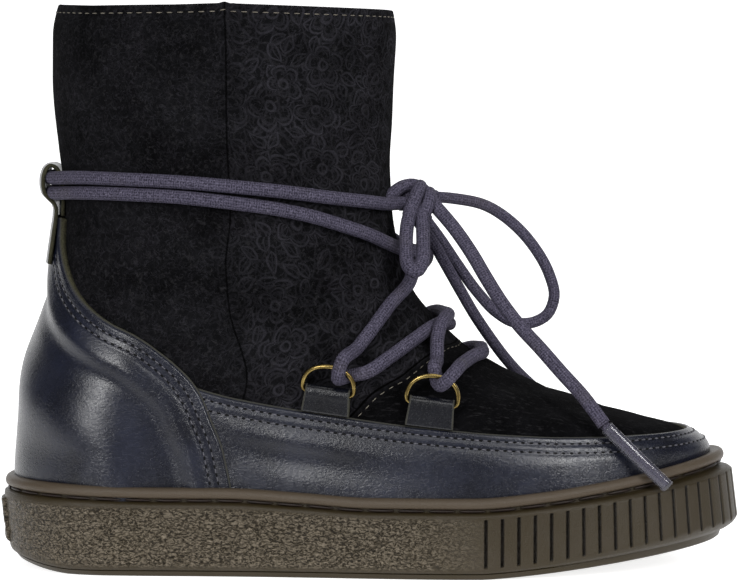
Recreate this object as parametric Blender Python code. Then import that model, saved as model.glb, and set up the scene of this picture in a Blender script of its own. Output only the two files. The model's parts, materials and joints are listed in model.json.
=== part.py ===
"""Child's lace-up ankle boot for the right foot: rubber cupsole, suede upper, leather overlays, brass rings, lace.

The toe points along +X, the outer side of the foot along -Y and the collar along +Z, and the boot stands on z = 0.
All sizes below are millimetres; they become metres when a mesh is made.
"""
import math
from collections import namedtuple

import bmesh
import bpy
import numpy as np

MM = 0.001

# Clearances and leather gauges
GAP = 0.3
UPPER_WALL = 2.4
FOXING_GAUGE = 1.3
COUNTER_GAUGE = 1.7
COUNTER_LIFT = 0.6

# Sole
CUP_DEPTH_HEEL = 13.0
CUP_DEPTH_TOE = 16.0
HEEL_BEVEL_START = -82.0
HEEL_BEVEL_END = -101.5
HEEL_BEVEL_RISE = 3.2
SPRING_START = 30.0
SPRING_END = 97.6
TOE_SPRING = 6.4
SPRING_POWER = 1.4
RIB_PITCH = 4.45
RIBS_PER_SIDE = 20
RIB_DEPTH = 1.1
HEEL_TAB_HALF = 7.0
HEEL_TAB_RISE = 1.0
TAB_BLEND = 0.5

# Bars cut across the walking face, as runs of first place, last place and count
TREAD_DEPTH = 2.0
TREAD_BAR = 3.2
TREAD_MARGIN = 8.0
TREAD_RUNS = ((-78.0, -45.0, 4), (-4.0, 68.0, 9))

# Insole
INSOLE_THICKNESS = 3.0

# Last: sideways swing of the toe and hollow of the waist
TOE_SWING = 3.0
SWING_START = 20.0
SWING_RUN = 75.0
WAIST_LATERAL = 1.0
WAIST_MEDIAL = 4.0

# Height of the bead's top edge along the sole
BEAD_LINE = (
    (-102.0, 25.0),
    (-40.0, 25.0),
    (-19.0, 24.0),
    (0.0, 22.9),
    (28.0, 22.9),
    (47.0, 24.2),
    (64.0, 26.2),
    (76.0, 27.9),
    (88.0, 30.0),
    (99.0, 32.0),
)

Section = namedtuple(
    "Section",
    "name back_x back_z front_x front_z heel_half heel_share ball_lateral ball_medial toe_share foot",
)

# Outer form of the upper, one tilted ring a row, from the cup floor to the collar
SECTIONS = (
    Section("seat", -96.6, 12.3, 91.6, 15.9, 24.6, 0.14, 33.6, 32.2, 0.35, 1.0),
    Section("welt", -97.0, 25.0, 93.4, 31.4, 25.4, 0.14, 34.6, 33.2, 0.36, 1.0),
    Section("rand", -96.3, 36.0, 92.4, 34.0, 26.0, 0.15, 34.6, 33.2, 0.36, 0.8),
    Section("rand_top", -95.0, 46.0, 88.6, 36.6, 26.6, 0.15, 33.6, 32.4, 0.37, 0.45),
    Section("toe_box", -93.0, 56.0, 85.0, 38.4, 27.0, 0.16, 32.2, 31.2, 0.39, 0.2),
    Section("vamp_low", -91.0, 63.5, 76.8, 40.4, 27.4, 0.18, 30.8, 30.0, 0.43, 0.08),
    Section("vamp", -89.0, 70.5, 64.3, 43.9, 27.8, 0.20, 29.8, 29.2, 0.48, 0.0),
    Section("vamp_high", -87.3, 77.5, 50.0, 48.8, 28.2, 0.23, 29.4, 28.8, 0.53, 0.0),
    Section("instep_low", -86.3, 84.5, 36.3, 54.7, 28.8, 0.27, 29.6, 29.2, 0.57, 0.0),
    Section("instep", -85.5, 91.0, 24.2, 62.6, 29.6, 0.32, 30.2, 29.9, 0.58, 0.0),
    Section("instep_high", -85.0, 97.0, 14.0, 73.2, 30.6, 0.38, 31.0, 30.8, 0.58, 0.0),
    Section("throat", -84.9, 102.5, 8.3, 86.0, 31.6, 0.44, 32.0, 31.9, 0.54, 0.0),
    Section("ankle", -85.3, 108.0, 5.7, 100.0, 32.6, 0.47, 33.0, 33.0, 0.51, 0.0),
    Section("shaft_low", -86.4, 115.0, 5.4, 112.0, 33.6, 0.49, 33.8, 33.8, 0.50, 0.0),
    Section("shaft", -87.4, 125.5, 5.8, 124.0, 34.4, 0.49, 34.5, 34.5, 0.50, 0.0),
    Section("shaft_high", -88.0, 136.5, 6.4, 136.0, 34.9, 0.49, 35.0, 35.0, 0.50, 0.0),
    Section("collar", -87.9, 147.5, 7.0, 147.0, 35.1, 0.49, 35.2, 35.2, 0.50, 0.0),
    Section("rim", -86.4, 156.0, 6.2, 154.8, 34.7, 0.49, 34.8, 34.8, 0.50, 0.0),
)
WELT_LEVEL = 1.0
RIM_LEVEL = len(SECTIONS) - 1.0

# Outline of the sole along the outer line of its bead
BEAD_PLAN = Section("bead", -101.7, 0.0, 99.0, 0.0, 30.0, 0.15, 38.0, 37.5, 0.34, 1.0)

SoleRow = namedtuple("SoleRow", "name line height_heel height_side height_toe out_heel out_side out_toe fine")

# Side of the sole from the tread edge up to the bead: height from its line and reach outside the bead plan
SOLE_ROWS = (
    SoleRow("tread_edge", "ground", 0.0, 0.0, 0.0, -4.6, -1.6, -1.8, False),
    SoleRow("tread_side", "ground", 1.5, 1.5, 2.4, -2.4, -1.0, -0.6, False),
    SoleRow("wall_foot", "ground", 1.9, 1.8, 3.1, -1.5, -0.3, 1.6, True),
    SoleRow("wall_low", "ground", 4.2, 3.6, 6.4, -1.0, 0.1, 3.9, True),
    SoleRow("wall_high", "bead", -8.0, -8.2, -7.6, 0.2, 0.5, 2.9, True),
    SoleRow("wall_top", "bead", -7.2, -7.4, -6.6, 0.3, 0.6, 2.4, True),
    SoleRow("lip", "bead", -5.4, -5.4, -5.2, 0.2, 0.5, 1.3, False),
    SoleRow("groove_low", "bead", -5.0, -5.0, -4.9, -1.3, -1.3, -1.3, False),
    SoleRow("groove_high", "bead", -3.8, -3.8, -3.8, -1.3, -1.3, -1.3, False),
    SoleRow("bead_low", "bead", -3.5, -3.5, -3.5, -0.3, -0.3, -0.3, False),
    SoleRow("bead_out", "bead", -2.3, -2.3, -2.3, 0.0, 0.0, 0.0, False),
    SoleRow("bead_crown", "bead", -0.6, -0.6, -0.6, -0.9, -0.9, -1.0, False),
)

# Edge of the counter on the side of the heel: level on the upper and turn round it
COUNTER_EDGE = (
    (0.0, 0.337),
    (1.0, 0.332),
    (1.75, 0.326),
    (2.5, 0.320),
    (3.25, 0.311),
    (4.0, 0.297),
    (4.75, 0.279),
    (5.4, 0.255),
    (5.95, 0.226),
    (6.25, 0.190),
    (6.6, 0.159),
    (7.1, 0.128),
    (7.8, 0.098),
    (9.1, 0.064),
    (10.0, 0.060),
)

# Top edge of the foxing: turn round the upper and level on it
FOXING_EDGE = (
    (0.29, 4.06),
    (0.34, 3.82),
    (0.417, 3.66),
    (0.49, 3.58),
    (0.56, 3.47),
    (0.635, 3.40),
    (0.713, 3.33),
    (0.763, 3.28),
    (0.818, 3.28),
    (0.88, 3.34),
    (0.94, 3.34),
    (1.0, 3.28),
)
FOXING_CORNER = 4.02

# Where the cup's wall steps from the counter to the foxing
COVER_STEP = -35.6
COVER_STEP_RUN = 3.0
FOXING_SEAM_GAP = 0.0025
FOXING_ROWS = (0.0, 0.30, 0.52, 0.70, 0.86, 1.0)

# Folded leather tabs that hold the rings, one a row on the lateral side and mirrored to the medial
RingTab = namedtuple("RingTab", "turn level fold_height lean_deg")
RING_TABS = (
    RingTab(0.464, 3.70, 5.2, -1.5),
    RingTab(0.597, 3.54, 5.9, -2.0),
)
TAB_GAUGE = 0.8
TAB_WIDTH = 12.2

# Brass D-ring: half of its outline from the straight bar to the top of the bow
RING_WIRE = 0.6
RING_TILT_DEG = 26.0
RING_OUTLINE = (
    (6.3, 0.0),
    (6.8, 0.4),
    (7.0, 1.3),
    (6.8, 3.3),
    (6.0, 5.2),
    (4.5, 6.7),
    (2.4, 7.6),
    (0.0, 7.9),
)

# Pull loop on the back: level on the upper and distance of the strip's middle from it
LOOP_GAUGE = 1.0
LOOP_WIDTH = 14.0
LOOP_COLUMNS = 4
LOOP_PATH = (
    (10.30, 0.9),
    (11.0, 0.9),
    (11.8, 0.9),
    (12.2, 1.1),
    (12.5, 1.9),
    (12.62, 3.4),
    (12.5, 4.9),
    (12.2, 5.9),
    (11.6, 6.3),
    (11.0, 6.1),
    (10.5, 5.2),
    (10.2, 4.4),
    (9.8, 3.5),
    (9.3, 3.3),
    (8.6, 3.3),
    (7.9, 3.3),
)

# Lace, as points over the upper (turn, level, lift) and points at a ring (ring, across, reach, rise)
LACE_RADIUS = 1.7
CORD_STEP = 10.5
Over = namedtuple("Over", "turn level lift")
AtRing = namedtuple("AtRing", "ring across reach rise")
WRAP_HIGH = (
    Over(0.953, 12.05, 4.1),
    Over(0.900, 12.05, 2.4),
    Over(0.825, 12.10, 2.2),
    Over(0.750, 12.15, 2.2),
    Over(0.633, 12.25, 2.2),
    Over(0.530, 12.31, 2.2),
    Over(0.413, 12.34, 2.2),
    Over(0.288, 12.29, 2.2),
    Over(0.160, 12.19, 2.4),
    Over(0.070, 12.06, 3.4),
)
WRAP_LOW = (
    Over(0.930, 11.12, 2.6),
    Over(0.815, 11.42, 2.4),
    Over(0.758, 11.55, 2.3),
    Over(0.688, 11.70, 2.2),
    Over(0.623, 11.79, 2.2),
    Over(0.530, 11.85, 2.2),
    Over(0.410, 11.87, 2.2),
    Over(0.285, 11.76, 2.2),
    Over(0.160, 11.54, 2.4),
    Over(0.070, 11.32, 3.4),
)
BACK_HIGH = Over(0.0, 12.02, 3.6)
BACK_LOW = Over(0.0, 11.26, 3.6)

# The two turns of the lace change places on the medial side of the heel
HIGH_TO_LOW = (
    Over(1.930, 12.06, 3.4),
    Over(1.890, 12.02, 2.8),
    Over(1.840, 11.85, 2.3),
    Over(1.790, 11.62, 2.3),
)
LOW_TO_HIGH = (
    Over(1.930, 11.32, 3.4),
    Over(1.890, 11.42, 4.6),
    Over(1.840, 11.85, 6.6),
    Over(1.790, 12.20, 4.2),
)
STRAND_A = (
    Over(0.910, 10.32, 2.9),
    Over(0.823, 9.70, 2.5),
    Over(0.720, 8.65, 2.5),
    Over(0.628, 7.45, 2.6),
)
RING_1_PASS = (
    AtRing(0, 3.1, 10.4, 2.3),
    AtRing(0, 2.7, 7.6, 2.9),
    AtRing(0, 2.6, 5.8, 1.7),
    AtRing(0, 2.9, 4.7, 0.0),
    AtRing(0, 4.0, 4.5, -1.7),
    AtRing(0, 6.0, 5.0, -2.7),
    AtRing(0, 8.6, 5.9, -2.7),
)
STRAND_B = (
    Over(0.670, 7.20, 2.3),
    Over(0.785, 8.40, 2.3),
    Over(0.878, 9.10, 2.3),
    Over(0.920, 9.28, 2.3),
)
RIDGE_B = Over(1.0, 9.17, 2.6)
STRAND_B_MEDIAL = (
    Over(1.085, 8.95, 2.8),
    Over(1.165, 8.35, 2.5),
    Over(1.245, 7.30, 2.8),
)
STRAND_C = (
    Over(0.755, 7.30, 2.8),
    Over(0.792, 7.85, 3.4),
    Over(0.835, 8.50, 4.6),
    Over(0.880, 9.05, 6.2),
    Over(0.915, 9.33, 6.7),
    Over(0.965, 9.56, 4.6),
)
RIDGE_C = Over(1.0, 9.62, 3.0)
STRAND_C_MEDIAL = (
    Over(1.083, 9.50, 2.5),
    Over(1.150, 9.05, 2.3),
    Over(1.215, 8.40, 2.3),
    Over(1.330, 7.20, 2.3),
)
RING_2_PASS = (
    AtRing(1, 5.0, 8.9, 2.6),
    AtRing(1, 3.6, 7.3, 2.9),
    AtRing(1, 2.4, 5.7, 1.7),
    AtRing(1, 1.6, 4.6, 0.0),
    AtRing(1, 0.8, 4.9, -1.5),
    AtRing(1, 0.1, 6.6, -2.6),
    AtRing(1, -0.4, 8.6, -2.7),
)
STRAND_BAR = (
    Over(0.815, 7.45, 2.6),
    Over(0.895, 8.10, 2.4),
    Over(0.940, 8.30, 2.4),
)
RIDGE_BAR = Over(1.0, 8.45, 2.0)
FRONT_LOW = Over(1.0, 10.85, 2.8)
FRONT_HIGH = Over(1.0, 10.85, 7.2)

# Bow: knot, loops and ends as free cord, places in the boot's own frame
KNOT_CENTRE = (12.4, -0.8, 101.0)
KNOT_HALF = (4.9, 6.4, 6.2)
LOOP_SMALL = (
    (11.9, -8.25, 100.4),
    (9.9, -13.0, 95.4),
    (9.5, -18.0, 88.2),
    (10.4, -22.0, 82.8),
    (12.4, -23.6, 81.0),
    (14.4, -21.6, 83.4),
    (15.2, -16.6, 89.4),
    (14.8, -12.0, 95.0),
    (14.1, -7.9, 98.6),
)
LOOP_LARGE = (
    (17.3, 2.2, 102.2),
    (23.0, 6.0, 101.6),
    (32.5, 10.0, 99.4),
    (40.5, 13.0, 94.0),
    (46.5, 14.5, 87.2),
    (50.5, 15.0, 80.0),
    (52.0, 14.5, 73.5),
    (50.0, 13.5, 68.5),
    (45.5, 12.5, 66.2),
    (40.0, 11.5, 66.6),
    (36.0, 10.5, 69.0),
    (29.8, 8.5, 75.6),
    (24.5, 6.6, 83.0),
    (19.4, 5.0, 90.6),
    (15.1, 3.1, 96.4),
)
END_LATERAL = (
    (17.35, -5.05, 100.75),
    (23.4, -9.0, 93.8),
    (28.0, -11.5, 87.2),
    (31.8, -14.0, 80.8),
    (35.9, -16.5, 74.3),
    (40.8, -19.0, 67.9),
    (46.7, -22.0, 61.6),
    (52.3, -25.0, 55.3),
    (58.1, -28.0, 49.0),
    (63.6, -29.4, 41.6),
)
END_MEDIAL = (
    (14.1, 0.0, 94.6),
    (17.6, 1.2, 89.4),
    (21.4, 3.0, 82.8),
    (25.2, 6.4, 76.0),
    (29.2, 10.5, 69.0),
    (33.8, 15.0, 62.0),
    (39.0, 20.6, 54.9),
    (44.3, 26.6, 49.0),
    (50.5, 31.8, 43.6),
    (57.5, 34.4, 39.6),
)
AGLET_RADIUS = 1.9
AGLET_LATERAL = ((63.9, -29.5, 41.3), (72.8, -29.4, 32.5), (81.2, -28.0, 24.4))
AGLET_MEDIAL = ((58.1, 34.6, 39.15), (66.2, 34.6, 32.4), (74.6, 33.4, 24.6))

# Mesh fineness
LOOP_SAMPLES = 480
UPPER_COLUMNS = 42
UPPER_LEVELS = 18
HEEL_COLUMNS = 17
FINE_RIBS = 4
COUNTER_COLUMNS = 16
FOXING_COLUMNS = 34


def smooth(xs, ys, at):
    """Value on a curve through the stations that never overshoots them."""
    xs = np.asarray(xs, float)
    ys = np.asarray(ys, float)
    run = np.diff(xs)
    rise = np.diff(ys) / run
    slopes = np.empty_like(ys)
    slopes[0] = rise[0]
    slopes[-1] = rise[-1]
    before = rise[:-1]
    after = rise[1:]
    same = before * after > 0
    near = 2.0 * run[1:] + run[:-1]
    far = run[1:] + 2.0 * run[:-1]
    mean = near / np.where(same, before, 1.0) + far / np.where(same, after, 1.0)
    slopes[1:-1] = np.where(same, (near + far) / mean, 0.0)
    at = np.clip(at, xs[0], xs[-1])
    k = np.clip(np.searchsorted(xs, at, side="right") - 1, 0, len(run) - 1)
    u = (at - xs[k]) / run[k]
    value = (2 * u**3 - 3 * u**2 + 1) * ys[k] + (3 * u**2 - 2 * u**3) * ys[k + 1]
    return value + run[k] * ((u**3 - 2 * u**2 + u) * slopes[k] + (u**3 - u**2) * slopes[k + 1])


def ease(u):
    """Soft step from 0 to 1."""
    u = np.clip(u, 0.0, 1.0)
    return u * u * (3.0 - 2.0 * u)


def bead_top(x):
    """Height of the top of the bead above the ground."""
    return smooth([row[0] for row in BEAD_LINE], [row[1] for row in BEAD_LINE], x)


def cup_floor(x):
    """Height of the floor inside the sole's cup."""
    share = (x - SECTIONS[0].back_x) / (SECTIONS[0].front_x - SECTIONS[0].back_x)
    return bead_top(x) - CUP_DEPTH_HEEL - (CUP_DEPTH_TOE - CUP_DEPTH_HEEL) * np.clip(share, 0.0, 1.0)


def ground(x):
    """Height of the tread: flat under the foot, bevelled at the heel and sprung at the toe."""
    heel = np.clip((HEEL_BEVEL_START - x) / (HEEL_BEVEL_START - HEEL_BEVEL_END), 0.0, 1.2)
    toe = np.clip((x - SPRING_START) / (SPRING_END - SPRING_START), 0.0, 1.2)
    return HEEL_BEVEL_RISE * heel**1.6 + TOE_SPRING * toe**SPRING_POWER


def section_at(level):
    """Ring of the upper between the table's rows."""
    rows = np.arange(len(SECTIONS))
    values = [smooth(rows, [row[k] for row in SECTIONS], level) for k in range(1, len(Section._fields))]
    return Section("ring", *values)


def half_outline(section, side):
    """Points of one half of a ring from its back to its front; side is -1 for lateral and +1 for medial."""
    length = section.front_x - section.back_x
    ball = section.ball_lateral if side < 0 else section.ball_medial
    waist = WAIST_LATERAL if side < 0 else WAIST_MEDIAL
    angle = np.linspace(0.0, math.pi, LOOP_SAMPLES)
    share = 0.5 - 0.5 * np.cos(angle)
    heel_u = np.clip(1.0 - share / section.heel_share, 0.0, 1.0)
    toe_u = np.clip((share - 1.0 + section.toe_share) / section.toe_share, 0.0, 1.0)
    middle = (share - section.heel_share) / max(1.0 - section.toe_share - section.heel_share, 1e-6)
    width = section.heel_half + (ball - section.heel_half) * ease(middle)
    width = width - section.foot * waist * np.sin(math.pi * np.clip(middle, 0.0, 1.0)) ** 2
    width = width * np.sqrt(np.clip(1.0 - heel_u**2, 0.0, 1.0)) * np.sqrt(np.clip(1.0 - toe_u**2, 0.0, 1.0))
    x = section.back_x + length * share
    swing = section.foot * TOE_SWING * ease((x - SWING_START) / SWING_RUN)
    chord = bead_top(section.back_x) + (bead_top(section.front_x) - bead_top(section.back_x)) * share
    z = section.back_z + (section.front_z - section.back_z) * share + section.foot * (bead_top(x) - chord)
    return np.stack([x, side * width + swing, z], axis=1)


def ring_points(section, turns):
    """Points of a ring at turns: 0 back, 0 to 1 along the lateral side, 1 front, 1 to 2 back along the medial."""
    turns = np.mod(np.asarray(turns, float), 2.0)
    points = np.empty((len(turns), 3))
    for side, chosen in ((-1.0, turns <= 1.0), (1.0, turns > 1.0)):
        half = half_outline(section, side)
        steps = np.linalg.norm(np.diff(half, axis=0), axis=1)
        along = np.concatenate([[0.0], np.cumsum(steps)]) / steps.sum()
        want = turns[chosen] if side < 0 else 2.0 - turns[chosen]
        for axis in range(3):
            points[chosen, axis] = np.interp(want, along, half[:, axis])
    return points


def form(turns, level, lift=0.0):
    """Points of the upper's outer form at one level, lifted off it along its normal."""
    turns = np.atleast_1d(np.asarray(turns, float))
    lift = np.broadcast_to(np.asarray(lift, float), turns.shape)
    points = ring_points(section_at(level), turns)
    if not np.any(lift):
        return points
    low = max(level - 0.08, 0.0)
    high = min(level + 0.08, RIM_LEVEL)
    up = ring_points(section_at(high), turns) - ring_points(section_at(low), turns)
    section = section_at(level)
    along = ring_points(section, turns + 0.006) - ring_points(section, turns - 0.006)
    normal = np.cross(along, up)
    normal /= np.linalg.norm(normal, axis=1)[:, None]
    return points + normal * lift[:, None]


def plan_points(section, turns, out):
    """Points of a flat ring moved outward in plan by the given reach."""
    points = ring_points(section, turns)
    along = ring_points(section, np.asarray(turns) + 0.004) - ring_points(section, np.asarray(turns) - 0.004)
    normal = np.stack([along[:, 1], -along[:, 0]], axis=1)
    normal /= np.linalg.norm(normal, axis=1)[:, None]
    points[:, :2] += normal * np.asarray(out)[:, None]
    return points


def cover(turns):
    """Outer reach of the leather over the upper at the bead: the counter's at the heel, else the foxing's."""
    x = ring_points(section_at(WELT_LEVEL), turns)[:, 0]
    share = ease((x - COVER_STEP) / COVER_STEP_RUN)
    counter = COUNTER_LIFT + COUNTER_GAUGE
    return counter + (GAP + FOXING_GAUGE - counter) * share


def finish_material(name, colour, roughness, metallic=0.0):
    """Principled material of one real material."""
    material = bpy.data.materials.get(name)
    if material is None:
        material = bpy.data.materials.new(name)
        material.use_nodes = True
        shader = material.node_tree.nodes["Principled BSDF"]
        shader.inputs["Base Color"].default_value = (*colour, 1.0)
        shader.inputs["Roughness"].default_value = roughness
        shader.inputs["Metallic"].default_value = metallic
    return material


def make_object(name, bm, material, closed=True):
    """Object of a bmesh in millimetres, placed at the boot's origin; an open skin keeps its own facing."""
    bmesh.ops.scale(bm, vec=(MM, MM, MM), verts=bm.verts)
    if closed:
        bmesh.ops.recalc_face_normals(bm, faces=bm.faces)
    mesh = bpy.data.meshes.new(name)
    bm.to_mesh(mesh)
    bm.free()
    mesh.materials.append(material)
    mesh.shade_smooth()
    mesh.set_sharp_from_angle(angle=math.radians(35.0))
    thing = bpy.data.objects.new(name, mesh)
    bpy.context.scene.collection.objects.link(thing)
    return thing


def thicken(thing, gauge, side):
    """Gives a skin its wall; side is -1 for inward and +1 for outward."""
    wall = thing.modifiers.new("wall", "SOLIDIFY")
    wall.thickness = gauge * MM
    wall.offset = side
    wall.use_even_offset = True
    wall.use_rim = True
    return wall


def skin_rows(bm, rows, closed):
    """Quads between rows of points; returns the vertices of each row."""
    loops = [[bm.verts.new(point) for point in row] for row in rows]
    for lower, upper in zip(loops, loops[1:]):
        count = len(lower)
        for k in range(count if closed else count - 1):
            nxt = (k + 1) % count
            bm.faces.new((lower[k], lower[nxt], upper[nxt], upper[k]))
    return loops


def close_ring(bm, loop):
    """Fills a ring with strips that run from its lateral half to its medial half."""
    half = len(loop) // 2
    for k in range(half):
        left = loop[k]
        left_next = loop[k + 1]
        right = loop[-k]
        right_next = loop[-k - 1]
        corners = [left, left_next]
        corners += [right_next] if right_next is not left_next else []
        corners += [right] if right is not left else []
        bm.faces.new(corners)


def sole_columns():
    """Columns round the sole: turn, relief of the side wall and whether coarse rows use it."""
    half_length = 0.5 * sum(
        np.linalg.norm(np.diff(half_outline(BEAD_PLAN, side), axis=0), axis=1).sum() for side in (-1.0, 1.0)
    )
    pitch = RIB_PITCH / half_length
    ribs_start = 1.0 - RIBS_PER_SIDE * pitch
    tab = HEEL_TAB_HALF / half_length
    blend = TAB_BLEND / half_length
    heel = [(0.0, HEEL_TAB_RISE, True), (tab - blend, HEEL_TAB_RISE, False), (tab + blend, 0.0, True)]
    first = 2.0 * tab
    for k in range(HEEL_COLUMNS):
        heel.append((first + (ribs_start - first) * k / HEEL_COLUMNS, 0.0, True))
    toe = []
    for rib in range(2 * RIBS_PER_SIDE):
        base = ribs_start + rib * pitch
        toe.append((base, 0.0, rib % 2 == 0 or abs(rib - RIBS_PER_SIDE) < FINE_RIBS))
        toe.append((base + 0.70 * pitch, 0.0, False))
        toe.append((base + 0.77 * pitch, -RIB_DEPTH, False))
        toe.append((base + 0.93 * pitch, -RIB_DEPTH, False))
    toe.append((ribs_start + 2 * RIBS_PER_SIDE * pitch, 0.0, True))
    back = [(2.0 - turn, relief, coarse) for turn, relief, coarse in reversed(heel[1:])]
    return heel + toe + back[1:] if back[0][0] <= toe[-1][0] + 1e-6 else heel + toe + back


def sole_row_points(row, turns, relief):
    """Points of one row of the sole's side."""
    points = ring_points(BEAD_PLAN, turns)
    x = points[:, 0]
    heel = 1.0 - ease((x + 100.0) / 45.0)
    toe = ease((x - 25.0) / 72.0)
    side = 1.0 - heel - toe
    out = heel * row.out_heel + side * row.out_side + toe * row.out_toe + relief
    height = heel * row.height_heel + side * row.height_side + toe * row.height_toe
    points = plan_points(BEAD_PLAN, turns, out)
    base = ground(points[:, 0]) if row.line == "ground" else bead_top(x)
    points[:, 2] = base + height
    return points


def build_cupsole(rubber):
    """Moulded sole: tread, side wall with toe ribs and heel tab, stitch groove, bead and the cup inside."""
    columns = sole_columns()
    fine_turns = np.array([column[0] for column in columns])
    relief = np.array([column[1] for column in columns])
    coarse_at = [k for k, column in enumerate(columns) if column[2]]
    coarse_turns = fine_turns[coarse_at]
    bm = bmesh.new()
    loops = []
    for row in SOLE_ROWS:
        turns = fine_turns if row.fine else coarse_turns
        ribbed = row.name in ("wall_low", "wall_high")
        points = sole_row_points(row, turns, relief if ribbed else np.zeros(len(turns)))
        loops.append(([bm.verts.new(point) for point in points], row.fine))
    lips = cover(coarse_turns) + GAP
    cup_top = form(coarse_turns, WELT_LEVEL, lips)
    cup_low = form(coarse_turns, 0.0, lips)
    cup_low[:, 2] = cup_floor(cup_low[:, 0])
    for points in (cup_top, cup_low):
        loops.append(([bm.verts.new(point) for point in points], False))
    for (lower, lower_fine), (upper, upper_fine) in zip(loops, loops[1:]):
        bridge_rows(bm, lower, lower_fine, upper, upper_fine, coarse_at)
    close_ring(bm, loops[0][0])
    close_ring(bm, loops[-1][0])
    sole = make_object("cupsole", bm, rubber)
    cut = sole.modifiers.new("tread", "BOOLEAN")
    cut.operation = "DIFFERENCE"
    cut.solver = "EXACT"
    cut.object = build_tread_cutter(rubber)
    return sole


def build_tread_cutter(rubber):
    """Bars that are cut out of the walking face, each shorter than the sole is wide there."""
    lateral = half_outline(BEAD_PLAN, -1.0)
    medial = half_outline(BEAD_PLAN, 1.0)
    bm = bmesh.new()
    for first, last, count in TREAD_RUNS:
        for x in np.linspace(first, last, count):
            left = np.interp(x, lateral[:, 0], lateral[:, 1]) + TREAD_MARGIN
            right = np.interp(x, medial[:, 0], medial[:, 1]) - TREAD_MARGIN
            box = bmesh.ops.create_cube(bm, size=1.0)["verts"]
            bmesh.ops.scale(bm, vec=(TREAD_BAR, right - left, 2.0 * TREAD_DEPTH), verts=box)
            bmesh.ops.translate(bm, vec=(x, 0.5 * (left + right), float(ground(x))), verts=box)
    cutter = make_object("tread_cutter", bm, rubber)
    cutter.hide_render = True
    cutter.display_type = "WIRE"
    return cutter


def bridge_rows(bm, lower, lower_fine, upper, upper_fine, coarse_at):
    """Faces between two rows of the sole, which may differ in fineness."""
    if lower_fine == upper_fine:
        count = len(lower)
        for k in range(count):
            nxt = (k + 1) % count
            bm.faces.new((lower[k], lower[nxt], upper[nxt], upper[k]))
        return
    fine = lower if lower_fine else upper
    coarse = upper if lower_fine else lower
    for k, start in enumerate(coarse_at):
        nxt = (k + 1) % len(coarse_at)
        stop = coarse_at[nxt] if nxt else len(fine)
        edge = [fine[j % len(fine)] for j in range(start, stop + 1)]
        split = len(edge) // 2
        for j in range(len(edge) - 1):
            bm.faces.new((edge[j], edge[j + 1], coarse[k] if j < split else coarse[nxt]))
        bm.faces.new((coarse[k], edge[split], coarse[nxt]))


def build_upper(suede):
    """Hollow suede shell through the table's rings, open at the collar and underneath."""
    turns = np.arange(UPPER_COLUMNS) * 2.0 / UPPER_COLUMNS
    bm = bmesh.new()
    skin_rows(bm, [form(turns, level) for level in np.linspace(0.0, RIM_LEVEL, UPPER_LEVELS + 1)], True)
    upper = make_object("upper", bm, suede, closed=False)
    thicken(upper, UPPER_WALL, -1.0)
    return upper


def build_insole(felt):
    """Footbed on the cup's floor, inside the upper."""
    turns = np.arange(UPPER_COLUMNS) * 2.0 / UPPER_COLUMNS
    inset = -(UPPER_WALL + GAP)
    low = form(turns, 0.0, inset)
    low[:, 2] = cup_floor(low[:, 0]) + GAP
    high = low.copy()
    high[:, 2] += INSOLE_THICKNESS
    bm = bmesh.new()
    loops = skin_rows(bm, [low, high], True)
    close_ring(bm, loops[0])
    close_ring(bm, loops[-1])
    return make_object("insole", bm, felt)


def counter_turn(level):
    """Turn of the counter's edge at a level."""
    return smooth([row[0] for row in COUNTER_EDGE], [row[1] for row in COUNTER_EDGE], level)


def foxing_level(turns):
    """Level of the foxing's top edge at turns on either side."""
    turns = np.where(turns > 1.0, 2.0 - turns, turns)
    return smooth([row[0] for row in FOXING_EDGE], [row[1] for row in FOXING_EDGE], turns)


def form_points(turns, levels, lift):
    """Points of the upper's form where each has its own turn and level."""
    return np.array([form([turn], level, lift)[0] for turn, level in zip(turns, levels)])


def build_counter(leather):
    """Leather cover of the heel, cut from the upper's own form between its edges."""
    rows = []
    for level, reach in COUNTER_EDGE:
        rows.append(form(np.linspace(-reach, reach, COUNTER_COLUMNS + 1), level, COUNTER_LIFT))
    bm = bmesh.new()
    skin_rows(bm, rows, False)
    counter = make_object("heel_counter", bm, leather, closed=False)
    thicken(counter, COUNTER_GAUGE, 1.0)
    return counter


def build_foxing(leather):
    """Leather band round the vamp, cut from the upper's own form between the bead and its top edge."""
    share = np.linspace(0.0, 1.0, FOXING_COLUMNS + 1)
    start = counter_turn(FOXING_CORNER) + FOXING_SEAM_GAP
    top = foxing_level(start + (2.0 - 2.0 * start) * share)
    rows = []
    for rise in FOXING_ROWS:
        first = counter_turn(FOXING_CORNER * rise) + FOXING_SEAM_GAP
        turns = first + (2.0 - 2.0 * first) * share
        rows.append(form_points(turns, rise * top, GAP))
    bm = bmesh.new()
    skin_rows(bm, rows, False)
    foxing = make_object("foxing", bm, leather, closed=False)
    thicken(foxing, FOXING_GAUGE, 1.0)
    return foxing


def build_pull_loop(leather):
    """Folded strip on the back that lies on the counter and opens into an eye above it."""
    rows = []
    for level, lift in LOOP_PATH:
        half = half_outline(section_at(level), -1.0)
        length = np.linalg.norm(np.diff(half, axis=0), axis=1).sum()
        reach = 0.5 * LOOP_WIDTH / length
        rows.append(form(np.linspace(-reach, reach, LOOP_COLUMNS + 1), level, lift))
    bm = bmesh.new()
    skin_rows(bm, rows, False)
    loop = make_object("heel_pull_loop", bm, leather, closed=False)
    thicken(loop, LOOP_GAUGE, 0.0)
    return loop


Frame = namedtuple("Frame", "origin across up out")


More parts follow.
